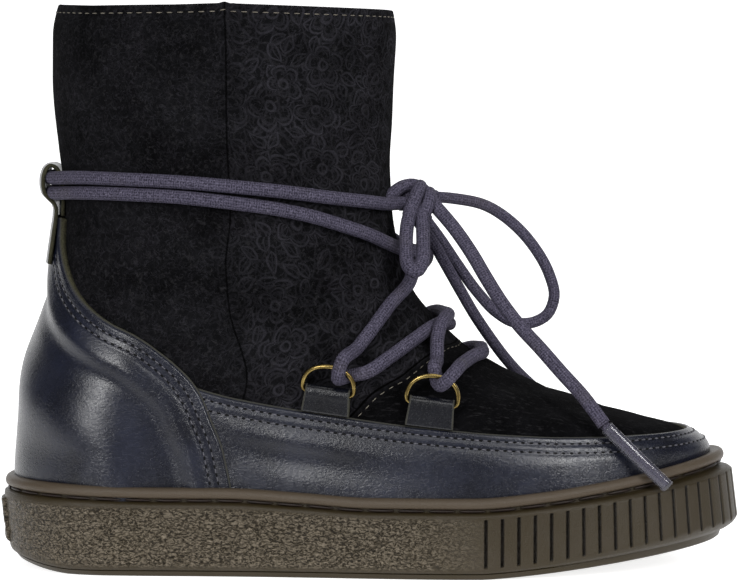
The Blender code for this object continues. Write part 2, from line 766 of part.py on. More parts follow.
def tab_frame(tab, mirrored):
    """Place of a ring tab on the upper: across runs forward on the lateral side and back on the medial."""
    turn = 2.0 - tab.turn if mirrored else tab.turn
    origin = form([turn], tab.level)[0]
    out = form([turn], tab.level, 1.0)[0] - origin
    across = form([turn + 0.02], tab.level)[0] - form([turn - 0.02], tab.level)[0]
    across /= np.linalg.norm(across)
    up = np.cross(out, across)
    lean = math.radians(-tab.lean_deg if mirrored else tab.lean_deg)
    turned = across * math.cos(lean) + up * math.sin(lean)
    return Frame(origin, turned, np.cross(out, turned), out)


def fold_centre(frame, tab):
    """Middle of the tab's fold, where the ring's bar lies."""
    lift = GAP + TAB_GAUGE + GAP + RING_WIRE
    return frame.origin + frame.up * tab.fold_height + frame.out * lift


def build_tab(name, frame, tab, leather):
    """Hairpin of leather round the ring's bar."""
    bar = GAP + TAB_GAUGE + GAP + RING_WIRE
    radius = RING_WIRE + GAP + 0.5 * TAB_GAUGE
    path = [(0.5, GAP + 0.5 * TAB_GAUGE), (0.5 * tab.fold_height, GAP + 0.5 * TAB_GAUGE)]
    for angle in np.radians(np.linspace(-90.0, 90.0, 7)):
        path.append((tab.fold_height + radius * math.cos(angle), bar + radius * math.sin(angle)))
    path.append((0.5 * tab.fold_height, bar + 0.45 * radius))
    path.append((0.5, 2.0 * GAP + 1.5 * TAB_GAUGE))
    path = np.array(path)
    run = np.gradient(path, axis=0)
    side = np.stack([-run[:, 1], run[:, 0]], axis=1)
    side *= 0.5 * TAB_GAUGE / np.linalg.norm(side, axis=1)[:, None]
    rows = []
    for middle, offset in zip(path, side):
        row = []
        for reach, face in ((-0.5, -1.0), (0.5, -1.0), (0.5, 1.0), (-0.5, 1.0)):
            rise, lift = middle + face * offset
            row.append(frame.origin + frame.across * reach * TAB_WIDTH + frame.up * rise + frame.out * lift)
        rows.append(row)
    bm = bmesh.new()
    loops = skin_rows(bm, rows, True)
    bm.faces.new(loops[0])
    bm.faces.new(loops[-1])
    return make_object(name, bm, leather)


def ring_point(frame, tab, across, reach, rise):
    """Point in a ring's own plane: across the bar, out along the bow and up from the plane."""
    tilt = math.radians(RING_TILT_DEG)
    along = frame.up * math.cos(tilt) + frame.out * math.sin(tilt)
    normal = frame.out * math.cos(tilt) - frame.up * math.sin(tilt)
    return fold_centre(frame, tab) + frame.across * across + along * reach + normal * rise


def build_ring(name, frame, tab, brass):
    """Bent wire D-ring lying in its tab."""
    half = list(RING_OUTLINE)
    outline = half + [(-across, reach) for across, reach in reversed(half[:-1])]
    points = [ring_point(frame, tab, across, reach, 0.0) for across, reach in outline]
    return build_cord(name, points, brass, RING_WIRE, 1, cyclic=True)


def build_cord(name, points, material, radius, resolution, cyclic=False):
    """Round tube along points."""
    curve = bpy.data.curves.new(name, "CURVE")
    curve.dimensions = "3D"
    curve.bevel_depth = radius * MM
    curve.bevel_resolution = resolution
    curve.use_fill_caps = not cyclic
    curve.materials.append(material)
    spline = curve.splines.new("POLY")
    spline.points.add(len(points) - 1)
    for slot, point in zip(spline.points, points):
        slot.co = (point[0] * MM, point[1] * MM, point[2] * MM, 1.0)
    spline.use_cyclic_u = cyclic
    cord = bpy.data.objects.new(name, curve)
    bpy.context.scene.collection.objects.link(cord)
    return cord


def smooth_route(points, step):
    """Points about one step apart on a smooth curve through the route's points."""
    points = np.asarray(points, float)
    lengths = np.linalg.norm(np.diff(points, axis=0), axis=1)
    speeds = np.diff(points, axis=0) / lengths[:, None]
    tangents = np.empty_like(points)
    tangents[0] = speeds[0]
    tangents[-1] = speeds[-1]
    before = lengths[:-1, None]
    after = lengths[1:, None]
    tangents[1:-1] = (speeds[:-1] * after + speeds[1:] * before) / (before + after)
    curve = [points[0]]
    for k, length in enumerate(lengths):
        count = max(1, int(round(length / step)))
        for u in np.arange(1, count + 1) / count:
            place = (2 * u**3 - 3 * u**2 + 1) * points[k] + (3 * u**2 - 2 * u**3) * points[k + 1]
            bend = (u**3 - 2 * u**2 + u) * tangents[k] + (u**3 - u**2) * tangents[k + 1]
            curve.append(place + length * bend)
    return curve


def mirror_route(route):
    """The same route on the medial side."""
    other = []
    for stop in route:
        if isinstance(stop, Over):
            other.append(stop._replace(turn=2.0 - stop.turn))
        else:
            other.append(stop._replace(ring=stop.ring + len(RING_TABS), across=-stop.across))
    return tuple(other)


def lacing_route():
    """The laced part of the lace from the lateral side of the knot to its medial side."""
    medial_low = list(reversed(mirror_route(WRAP_LOW[:-2])))
    medial_high = list(reversed(mirror_route(WRAP_HIGH[:-2])))
    route = list(WRAP_HIGH) + [BACK_HIGH] + list(HIGH_TO_LOW) + medial_low
    route += [FRONT_LOW] + list(STRAND_A) + list(RING_1_PASS) + list(STRAND_B) + [RIDGE_B]
    route += list(STRAND_B_MEDIAL) + list(reversed(mirror_route(RING_2_PASS)))
    route += list(mirror_route(STRAND_BAR)) + [RIDGE_BAR] + list(reversed(STRAND_BAR))
    route += list(RING_2_PASS) + list(STRAND_C) + [RIDGE_C]
    route += list(STRAND_C_MEDIAL) + list(reversed(mirror_route(RING_1_PASS)))
    route += list(reversed(mirror_route(STRAND_A))) + [FRONT_HIGH] + list(WRAP_LOW) + [BACK_LOW]
    route += list(LOW_TO_HIGH) + medial_high
    return route


def build_bow(cotton, film):
    """Knot, loops, ends and tips of the tied lace."""
    bm = bmesh.new()
    bmesh.ops.create_uvsphere(bm, u_segments=12, v_segments=8, radius=1.0)
    bmesh.ops.scale(bm, vec=KNOT_HALF, verts=bm.verts)
    bmesh.ops.translate(bm, vec=KNOT_CENTRE, verts=bm.verts)
    make_object("lace_knot", bm, cotton)
    for name, route in (
        ("lace_loop_lateral", LOOP_SMALL),
        ("lace_loop_medial", LOOP_LARGE),
        ("lace_end_lateral", END_LATERAL),
        ("lace_end_medial", END_MEDIAL),
    ):
        build_cord(name, smooth_route(route, CORD_STEP), cotton, LACE_RADIUS, 2)
    build_cord("aglet_lateral", smooth_route(AGLET_LATERAL, CORD_STEP), film, AGLET_RADIUS, 2)
    build_cord("aglet_medial", smooth_route(AGLET_MEDIAL, CORD_STEP), film, AGLET_RADIUS, 2)


def clear_scene():
    """Removes what the start-up scene holds."""
    for thing in list(bpy.data.objects):
        bpy.data.objects.remove(thing, do_unlink=True)


def main():
    """Builds the boot piece by piece."""
    clear_scene()
    rubber = finish_material("sole_rubber", (0.070, 0.052, 0.036), 0.62)
    suede = finish_material("black_suede", (0.007, 0.007, 0.008), 0.95)
    felt = finish_material("insole_felt", (0.030, 0.029, 0.031), 0.98)
    leather = finish_material("navy_leather", (0.022, 0.025, 0.037), 0.45)
    brass = finish_material("brass", (0.48, 0.33, 0.10), 0.25, 1.0)
    cotton = finish_material("waxed_cord", (0.070, 0.066, 0.095), 0.75)
    film = finish_material("clear_film", (0.42, 0.42, 0.45), 0.20)
    build_cupsole(rubber)
    build_upper(suede)
    build_insole(felt)
    build_foxing(leather)
    build_counter(leather)
    build_pull_loop(leather)
    frames = []
    for mirrored in (False, True):
        for tab in RING_TABS:
            frames.append((tab_frame(tab, mirrored), tab))
    for k, (frame, tab) in enumerate(frames):
        build_tab(f"ring_tab_{k + 1}", frame, tab, leather)
        build_ring(f"d_ring_{k + 1}", frame, tab, brass)
    places = []
    for stop in lacing_route():
        if isinstance(stop, Over):
            places.append(form([stop.turn], stop.level, stop.lift)[0])
        else:
            places.append(ring_point(*frames[stop.ring], stop.across, stop.reach, stop.rise))
    build_cord("lace_lacing", smooth_route(places, CORD_STEP), cotton, LACE_RADIUS, 2)
    build_bow(cotton, film)


main()
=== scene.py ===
"""Looks of a child's lace-up boot: rubber cupsole, black suede, waxed leather, brass rings and a tied lace.

The toe points along +X, the outer side of the foot along -Y, and the boot stands on z = 0. The tables hold
millimetres, as the part's own source does, and become metres when a mesh is made.
"""

import json
import logging
import math
from collections.abc import Callable, Iterator, Sequence
from contextlib import contextmanager
from dataclasses import dataclass, field
from enum import Enum
from functools import partial
from typing import NamedTuple

import bmesh
import bpy
import numpy as np
from bpy.types import Material, Mesh, NodeTree, Object
from bpy.types import NodeSocket as Socket
from mathutils import Matrix, Vector, kdtree, noise

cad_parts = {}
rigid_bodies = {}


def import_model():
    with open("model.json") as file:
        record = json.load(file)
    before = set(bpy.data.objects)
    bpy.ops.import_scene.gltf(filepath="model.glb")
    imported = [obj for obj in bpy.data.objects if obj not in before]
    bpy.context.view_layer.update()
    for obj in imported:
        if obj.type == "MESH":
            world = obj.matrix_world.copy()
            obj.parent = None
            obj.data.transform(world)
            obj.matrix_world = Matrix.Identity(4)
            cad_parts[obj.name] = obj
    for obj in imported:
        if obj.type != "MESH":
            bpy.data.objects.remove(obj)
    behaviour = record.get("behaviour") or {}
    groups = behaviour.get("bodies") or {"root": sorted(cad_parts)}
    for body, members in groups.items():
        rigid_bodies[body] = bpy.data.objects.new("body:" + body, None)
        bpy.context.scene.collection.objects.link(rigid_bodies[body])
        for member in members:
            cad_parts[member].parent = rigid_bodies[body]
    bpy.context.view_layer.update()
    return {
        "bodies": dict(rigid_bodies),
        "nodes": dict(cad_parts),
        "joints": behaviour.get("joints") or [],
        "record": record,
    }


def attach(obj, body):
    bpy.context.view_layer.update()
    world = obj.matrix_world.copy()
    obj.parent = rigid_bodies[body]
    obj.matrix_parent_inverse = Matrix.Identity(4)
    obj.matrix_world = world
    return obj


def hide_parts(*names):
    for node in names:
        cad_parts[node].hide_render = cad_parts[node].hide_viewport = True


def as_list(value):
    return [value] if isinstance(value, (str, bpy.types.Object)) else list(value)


log = logging.getLogger("boot")

MM = 0.001
M_IN_MM = 1000.0
UV_MM = 100.0
THREAD_LIFT = 0.08
# Painted shade of the needle holes, a black ellipsoid at each: its length as a share of the pitch, its half
# width and depth as shares of the thread's
HOLE_LONG = 0.52
HOLE_WIDE = 1.35
HOLE_DEEP = 0.5
TURN = 2.0 * math.pi
Array = np.ndarray
Adder = Callable[..., Socket]
Placer = Callable[[Array, Array], Array]
Pair = tuple[float, float]
Point = tuple[float, float, float]
Route = tuple[Point, ...]
Inputs = dict[str, object]


class Side(Enum):
    """Side of the foot; the value is the sign of its y."""

    LATERAL = -1.0
    MEDIAL = 1.0


class Line(Enum):
    """Line that the heights of a row of the sole are counted from."""

    GROUND = "ground"
    BEAD = "bead"


class Section(NamedTuple):
    """One tilted ring of the last."""

    back_x: float
    back_z: float
    front_x: float
    front_z: float
    heel_half: float
    heel_share: float
    ball_lateral: float
    ball_medial: float
    toe_share: float
    foot: float


# Rings of the upper from the cup floor to the collar
SECTIONS = (
    Section(-96.6, 12.3, 91.6, 15.9, 24.6, 0.14, 33.6, 32.2, 0.35, 1.0),
    Section(-97.0, 25.0, 93.4, 31.4, 25.4, 0.14, 34.6, 33.2, 0.36, 1.0),
    Section(-96.3, 36.0, 92.4, 34.0, 26.0, 0.15, 34.6, 33.2, 0.36, 0.8),
    Section(-95.0, 46.0, 88.6, 36.6, 26.6, 0.15, 33.6, 32.4, 0.37, 0.45),
    Section(-93.0, 56.0, 85.0, 38.4, 27.0, 0.16, 32.2, 31.2, 0.39, 0.2),
    Section(-91.0, 63.5, 76.8, 40.4, 27.4, 0.18, 30.8, 30.0, 0.43, 0.08),
    Section(-89.0, 70.5, 64.3, 43.9, 27.8, 0.20, 29.8, 29.2, 0.48, 0.0),
    Section(-87.3, 77.5, 50.0, 48.8, 28.2, 0.23, 29.4, 28.8, 0.53, 0.0),
    Section(-86.3, 84.5, 36.3, 54.7, 28.8, 0.27, 29.6, 29.2, 0.57, 0.0),
    Section(-85.5, 91.0, 24.2, 62.6, 29.6, 0.32, 30.2, 29.9, 0.58, 0.0),
    Section(-85.0, 97.0, 14.0, 73.2, 30.6, 0.38, 31.0, 30.8, 0.58, 0.0),
    Section(-84.9, 102.5, 8.3, 86.0, 31.6, 0.44, 32.0, 31.9, 0.54, 0.0),
    Section(-85.3, 108.0, 5.7, 100.0, 32.6, 0.47, 33.0, 33.0, 0.51, 0.0),
    Section(-86.4, 115.0, 5.4, 112.0, 33.6, 0.49, 33.8, 33.8, 0.50, 0.0),
    Section(-87.4, 125.5, 5.8, 124.0, 34.4, 0.49, 34.5, 34.5, 0.50, 0.0),
    Section(-88.0, 136.5, 6.4, 136.0, 34.9, 0.49, 35.0, 35.0, 0.50, 0.0),
    Section(-87.9, 147.5, 7.0, 147.0, 35.1, 0.49, 35.2, 35.2, 0.50, 0.0),
    Section(-86.4, 156.0, 6.2, 154.8, 34.7, 0.49, 34.8, 34.8, 0.50, 0.0),
)
RIM_LEVEL = len(SECTIONS) - 1.0
BEAD_PLAN = Section(-101.7, 0.0, 99.0, 0.0, 30.0, 0.15, 38.0, 37.5, 0.34, 1.0)

# Height of the bead's top edge along the sole, as x and z
BEAD_LINE = (
    *((-102.0, 25.0), (-40.0, 25.0), (-19.0, 24.0), (0.0, 22.9), (28.0, 22.9)),
    *((47.0, 24.2), (64.0, 26.2), (76.0, 27.9), (88.0, 30.0), (99.0, 32.0)),
)

# Edges of the leather: level and turn of the counter's, turn and level of the foxing's
COUNTER_EDGE = (
    *((0.0, 0.337), (1.0, 0.332), (1.75, 0.326), (2.5, 0.320), (3.25, 0.311)),
    *((4.0, 0.297), (4.75, 0.279), (5.4, 0.255), (5.95, 0.226), (6.25, 0.190)),
    *((6.6, 0.159), (7.1, 0.128), (7.8, 0.098), (9.1, 0.064), (10.0, 0.060)),
)
FOXING_EDGE = (
    *((0.29, 4.06), (0.34, 3.82), (0.417, 3.66), (0.49, 3.58), (0.56, 3.47), (0.635, 3.40)),
    *((0.713, 3.33), (0.763, 3.28), (0.818, 3.28), (0.88, 3.34), (0.94, 3.34), (1.0, 3.28)),
)
FOXING_CORNER = 4.02

# Seams of the suede as turn and level, from the collar down and from the foxing up
SIDE_SEAM = ((0.508, 17.0), (0.517, 14.45), (0.517, 11.85), (0.403, 7.05), (0.350, 3.40))
VAMP_SEAM = ((0.488, 3.40), (0.545, 4.90), (0.635, 6.20), (0.780, 7.85), (0.900, 8.75), (1.0, 9.05))


def smooth(xs: Sequence[float], ys: Sequence[float], at: Array | float) -> Array:
    """Value on a curve through stations that never overshoots them.

    Args:
        xs: places of the stations, rising.
        ys: values at the stations.
        at: places where the value is wanted.

    Returns:
        The values.
    """
    xs = np.asarray(xs, float)
    ys = np.asarray(ys, float)
    run = np.diff(xs)
    rise = np.diff(ys) / run
    slopes = np.empty_like(ys)
    slopes[0] = rise[0]
    slopes[-1] = rise[-1]
    before = rise[:-1]
    after = rise[1:]
    same = before * after > 0
    near = 2.0 * run[1:] + run[:-1]
    far = run[1:] + 2.0 * run[:-1]
    mean = near / np.where(same, before, 1.0) + far / np.where(same, after, 1.0)
    slopes[1:-1] = np.where(same, (near + far) / mean, 0.0)
    at = np.clip(at, xs[0], xs[-1])
    k = np.clip(np.searchsorted(xs, at, side="right") - 1, 0, len(run) - 1)
    u = (at - xs[k]) / run[k]
    value = (2 * u**3 - 3 * u**2 + 1) * ys[k] + (3 * u**2 - 2 * u**3) * ys[k + 1]
    return value + run[k] * ((u**3 - 2 * u**2 + u) * slopes[k] + (u**3 - u**2) * slopes[k + 1])


def column(table: Sequence[Sequence[float]], k: int) -> list[float]:
    """One column of a table."""
    return [row[k] for row in table]


def ease(u: Array | float) -> Array:
    """Soft step from 0 to 1."""
    u = np.clip(u, 0.0, 1.0)
    return u * u * (3.0 - 2.0 * u)


def hump(distance: Array | float, width: float) -> Array:
    """Soft bell of height 1 and the given half width."""
    return np.exp(-((np.asarray(distance) / width) ** 2))


def unit(vectors: Array) -> Array:
    """Vectors scaled to length 1."""
    return vectors / np.maximum(np.linalg.norm(vectors, axis=-1, keepdims=True), 1e-12)


def arc_length(points: Array) -> Array:
    """Distance along a line at each of its points."""
    return np.concatenate([[0.0], np.cumsum(np.linalg.norm(np.diff(points, axis=0), axis=1))])


def bead_top(x: Array | float) -> Array:
    """Height of the top of the bead above the ground."""
    return smooth(column(BEAD_LINE, 0), column(BEAD_LINE, 1), x)


def fold_turn(turns: Array) -> Array:
    """Turns of the medial side as the lateral turns they mirror."""
    turns = np.mod(turns, 2.0)
    return np.where(turns > 1.0, 2.0 - turns, turns)


def distance_to(points: Array, line: Array) -> Array:
    """Distance of each point from the nearest point of a dense line."""
    tree = kdtree.KDTree(len(line))
    for k, place in enumerate(line):
        tree.insert(place, k)
    tree.balance()
    return np.array([tree.find(point)[2] for point in points])


@dataclass
class Last:
    """The boot's own form: turns run from the back (0) along the outer side to the front (1) and back (2)."""

    toe_swing: float = 3.0
    swing_start: float = 20.0
    swing_run: float = 75.0
    waist_lateral: float = 1.0
    waist_medial: float = 4.0
    turn_cells: int = 800
    level_cells: int = 340
    places: Array = field(init=False)
    normals: Array = field(init=False)
    half_length: Array = field(init=False)
    spread: Array = field(init=False)

    def __post_init__(self) -> None:
        """Works out the form's lattice once."""
        turns = np.arange(self.turn_cells) * 2.0 / self.turn_cells
        levels = np.linspace(0.0, RIM_LEVEL, self.level_cells + 1)
        self.places = np.array([self.ring(self.section(level), turns) for level in levels])
        along = np.roll(self.places, -1, axis=1) - np.roll(self.places, 1, axis=1)
        self.normals = unit(np.cross(along, np.gradient(self.places, axis=0)))
        steps = np.diff(self.places, axis=1, append=self.places[:, :1])
        self.half_length = 0.5 * np.linalg.norm(steps, axis=2).sum(axis=1)
        walked = np.cumsum(np.linalg.norm(steps[:, :, :2], axis=2), axis=1)
        self.spread = np.concatenate([np.zeros((len(levels), 1)), walked[:, :-1]], axis=1)[:, :, None]

    def section(self, level: float) -> Section:
        """Ring between the table's rows."""
        rows = np.arange(len(SECTIONS))
        return Section(*(smooth(rows, column(SECTIONS, k), level) for k in range(len(Section._fields))))

    def half(self, section: Section, side: Side) -> Array:
        """Points of one half of a ring.

        Args:
            section: the ring.
            side: which half.

        Returns:
            Points from the back to the front, in millimetres.
        """
        ball = section.ball_lateral if side is Side.LATERAL else section.ball_medial
        waist = self.waist_lateral if side is Side.LATERAL else self.waist_medial
        share = 0.5 - 0.5 * np.cos(np.linspace(0.0, math.pi, 480))
        heel = np.clip(1.0 - share / section.heel_share, 0.0, 1.0)
        toe = np.clip((share - 1.0 + section.toe_share) / section.toe_share, 0.0, 1.0)
        middle = (share - section.heel_share) / max(1.0 - section.toe_share - section.heel_share, 1e-6)
        width = section.heel_half + (ball - section.heel_half) * ease(middle)
        width = width - section.foot * waist * np.sin(math.pi * np.clip(middle, 0.0, 1.0)) ** 2
        width = width * np.sqrt(np.clip(1.0 - heel**2, 0.0, 1.0)) * np.sqrt(np.clip(1.0 - toe**2, 0.0, 1.0))
        x = section.back_x + (section.front_x - section.back_x) * share
        swing = section.foot * self.toe_swing * ease((x - self.swing_start) / self.swing_run)
        chord = bead_top(section.back_x) + (bead_top(section.front_x) - bead_top(section.back_x)) * share
        z = section.back_z + (section.front_z - section.back_z) * share + section.foot * (bead_top(x) - chord)
        return np.stack([x, side.value * width + swing, z], axis=1)

    def ring(self, section: Section, turns: Array) -> Array:
        """Points of a ring at turns."""
        turns = np.mod(turns, 2.0)
        points = np.empty((len(turns), 3))
        for side, chosen in ((Side.LATERAL, turns <= 1.0), (Side.MEDIAL, turns > 1.0)):
            half = self.half(section, side)
            along = arc_length(half)
            want = turns[chosen] if side is Side.LATERAL else 2.0 - turns[chosen]
            for axis in range(3):
                points[chosen, axis] = np.interp(want, along / along[-1], half[:, axis])
        return points

    def read(self, lattice: Array, turns: Array, levels: Array) -> Array:
        """Values of a lattice between its points.

        Args:
            lattice: the form's places or normals.
            turns: turns round the form.
            levels: levels on it, one for each turn.

        Returns:
            One vector for each pair.
        """
        a = np.mod(turns, 2.0) * self.turn_cells / 2.0
        b = np.clip(levels, 0.0, RIM_LEVEL) * self.level_cells / RIM_LEVEL
        j = np.floor(a).astype(int)
        i = np.minimum(np.floor(b).astype(int), self.level_cells - 1)
        s = (a - j)[:, None]
        t = (b - i)[:, None]
        j = j % self.turn_cells
        k = (j + 1) % self.turn_cells
        low = lattice[i, j] * (1.0 - s) + lattice[i, k] * s
        high = lattice[i + 1, j] * (1.0 - s) + lattice[i + 1, k] * s
        return low * (1.0 - t) + high * t

    def at(self, turns: Array, levels: Array, lift: Array | float = 0.0) -> Array:
        """Points over the form, lifted off it along its normal.

        Args:
            turns: turns round the form.
            levels: levels on it.
            lift: distance from it in millimetres.

        Returns:
            Points in millimetres.
        """
        flat = (np.asarray(values, float).ravel() for values in (turns, levels, lift))
        turns, levels, lift = np.broadcast_arrays(*flat)
        points = self.read(self.places, turns, levels)
        if np.any(lift):
            points = points + unit(self.read(self.normals, turns, levels)) * lift[:, None]
        return points

    def normal(self, turns: Array, levels: Array) -> Array:
        """Outward normals of the form."""
        flat = (np.asarray(values, float).ravel() for values in (turns, levels))
        turns, levels = np.broadcast_arrays(*flat)
        return unit(self.read(self.normals, turns, levels))

    def shift(self, turns: Array, levels: Array, distance: float) -> tuple[Array, Array]:
        """Moves a line on the form sideways over its surface.

        Args:
            turns: turns along the line.
            levels: levels along the line.
            distance: millimetres to the right of the line's run, seen from outside.

        Returns:
            The moved turns and levels.
        """
        wide = np.linalg.norm(self.at(turns + 0.004, levels) - self.at(turns - 0.004, levels), axis=1) / 0.008
        tall = np.linalg.norm(self.at(turns, levels + 0.04) - self.at(turns, levels - 0.04), axis=1) / 0.08
        run = unit(np.stack([np.gradient(turns) * wide, np.gradient(levels) * tall], axis=1))
        return turns + run[:, 1] * distance / wide, levels - run[:, 0] * distance / tall

    def hide_place(self, turns: Array, levels: Array) -> Array:
        """UV places on the unrolled hide, for turns from the front (1) by the back (2) to the front (3)."""
        across = self.read(self.spread, fold_turn(turns) * 0.9999, levels)[:, 0]
        across = np.where(turns < 2.0, -across, across)
        return np.stack([across, self.at(turns, levels)[:, 2]], axis=1) / UV_MM


def linear(code: str) -> tuple[float, float, float, float]:
    """Linear colour of an sRGB hex value."""
    shares = [int(code[k : k + 2], 16) / 255.0 for k in (1, 3, 5)]
    return (*(s / 12.92 if s <= 0.04045 else ((s + 0.055) / 1.055) ** 2.4 for s in shares), 1.0)


def add_node(tree: NodeTree, kind: str, *values: object, out: int | str = 0, **named: object) -> Socket:
    """Adds a shader node, sets or links its inputs and gives one of its outputs.

    Args:
        tree: the material's nodes.
        kind: the node's type without its prefix.
        values: numbers, hex colours or sockets for the inputs in use, in order.
        out: name or number of the wanted output.
        named: inputs by name, which start with a capital, and settings, which don't.

    Returns:
        The output's socket, or None for the material's own output.
    """
    node = tree.nodes.new("ShaderNode" + kind)
    settings = {key: value for key, value in named.items() if key[0].islower()}
    for key, value in settings.items():
        setattr(node, key, value)
    inputs = list(zip([socket for socket in node.inputs if socket.enabled], values))
    given = {key: value for key, value in named.items() if key not in settings}
    inputs += [(node.inputs[key.replace("_", " ")], value) for key, value in given.items()]
    for socket, value in inputs:
        if isinstance(value, Socket):
            tree.links.new(value, socket)
        else:
            socket.default_value = linear(value) if isinstance(value, str) else value
    return node.outputs[out] if node.outputs else None


SOFT_STEP = {"interpolation_type": "SMOOTHSTEP"}
TIMES = {"operation": "MULTIPLY"}
TIMES_PLUS = {"operation": "MULTIPLY_ADD"}
LESS = {"operation": "SUBTRACT"}
LARGER = {"operation": "MAXIMUM"}
SIZE = {"operation": "ABSOLUTE"}
RGB = {"data_type": "RGBA", "out": 2}
PLANE = {"voronoi_dimensions": "2D"}


@dataclass(frozen=True)
class Finish:
    """A material: its name and, in each kind, the nodes that lead to its shader."""

    name: str

    def sockets(self, add: Adder) -> Inputs:
        """Adds the nodes that lead to the shader.

        Args:
            add: adds a node to the material.

        Returns:
            The shader's inputs by name.
        """
        raise NotImplementedError

    def make(self) -> Material:
        """Builds the material."""
        paint = bpy.data.materials.new(self.name)
        paint.use_nodes = True
        paint.node_tree.nodes.clear()
        add = partial(add_node, paint.node_tree)
        add("OutputMaterial", add("BsdfPrincipled", **self.sockets(add)))
        return paint


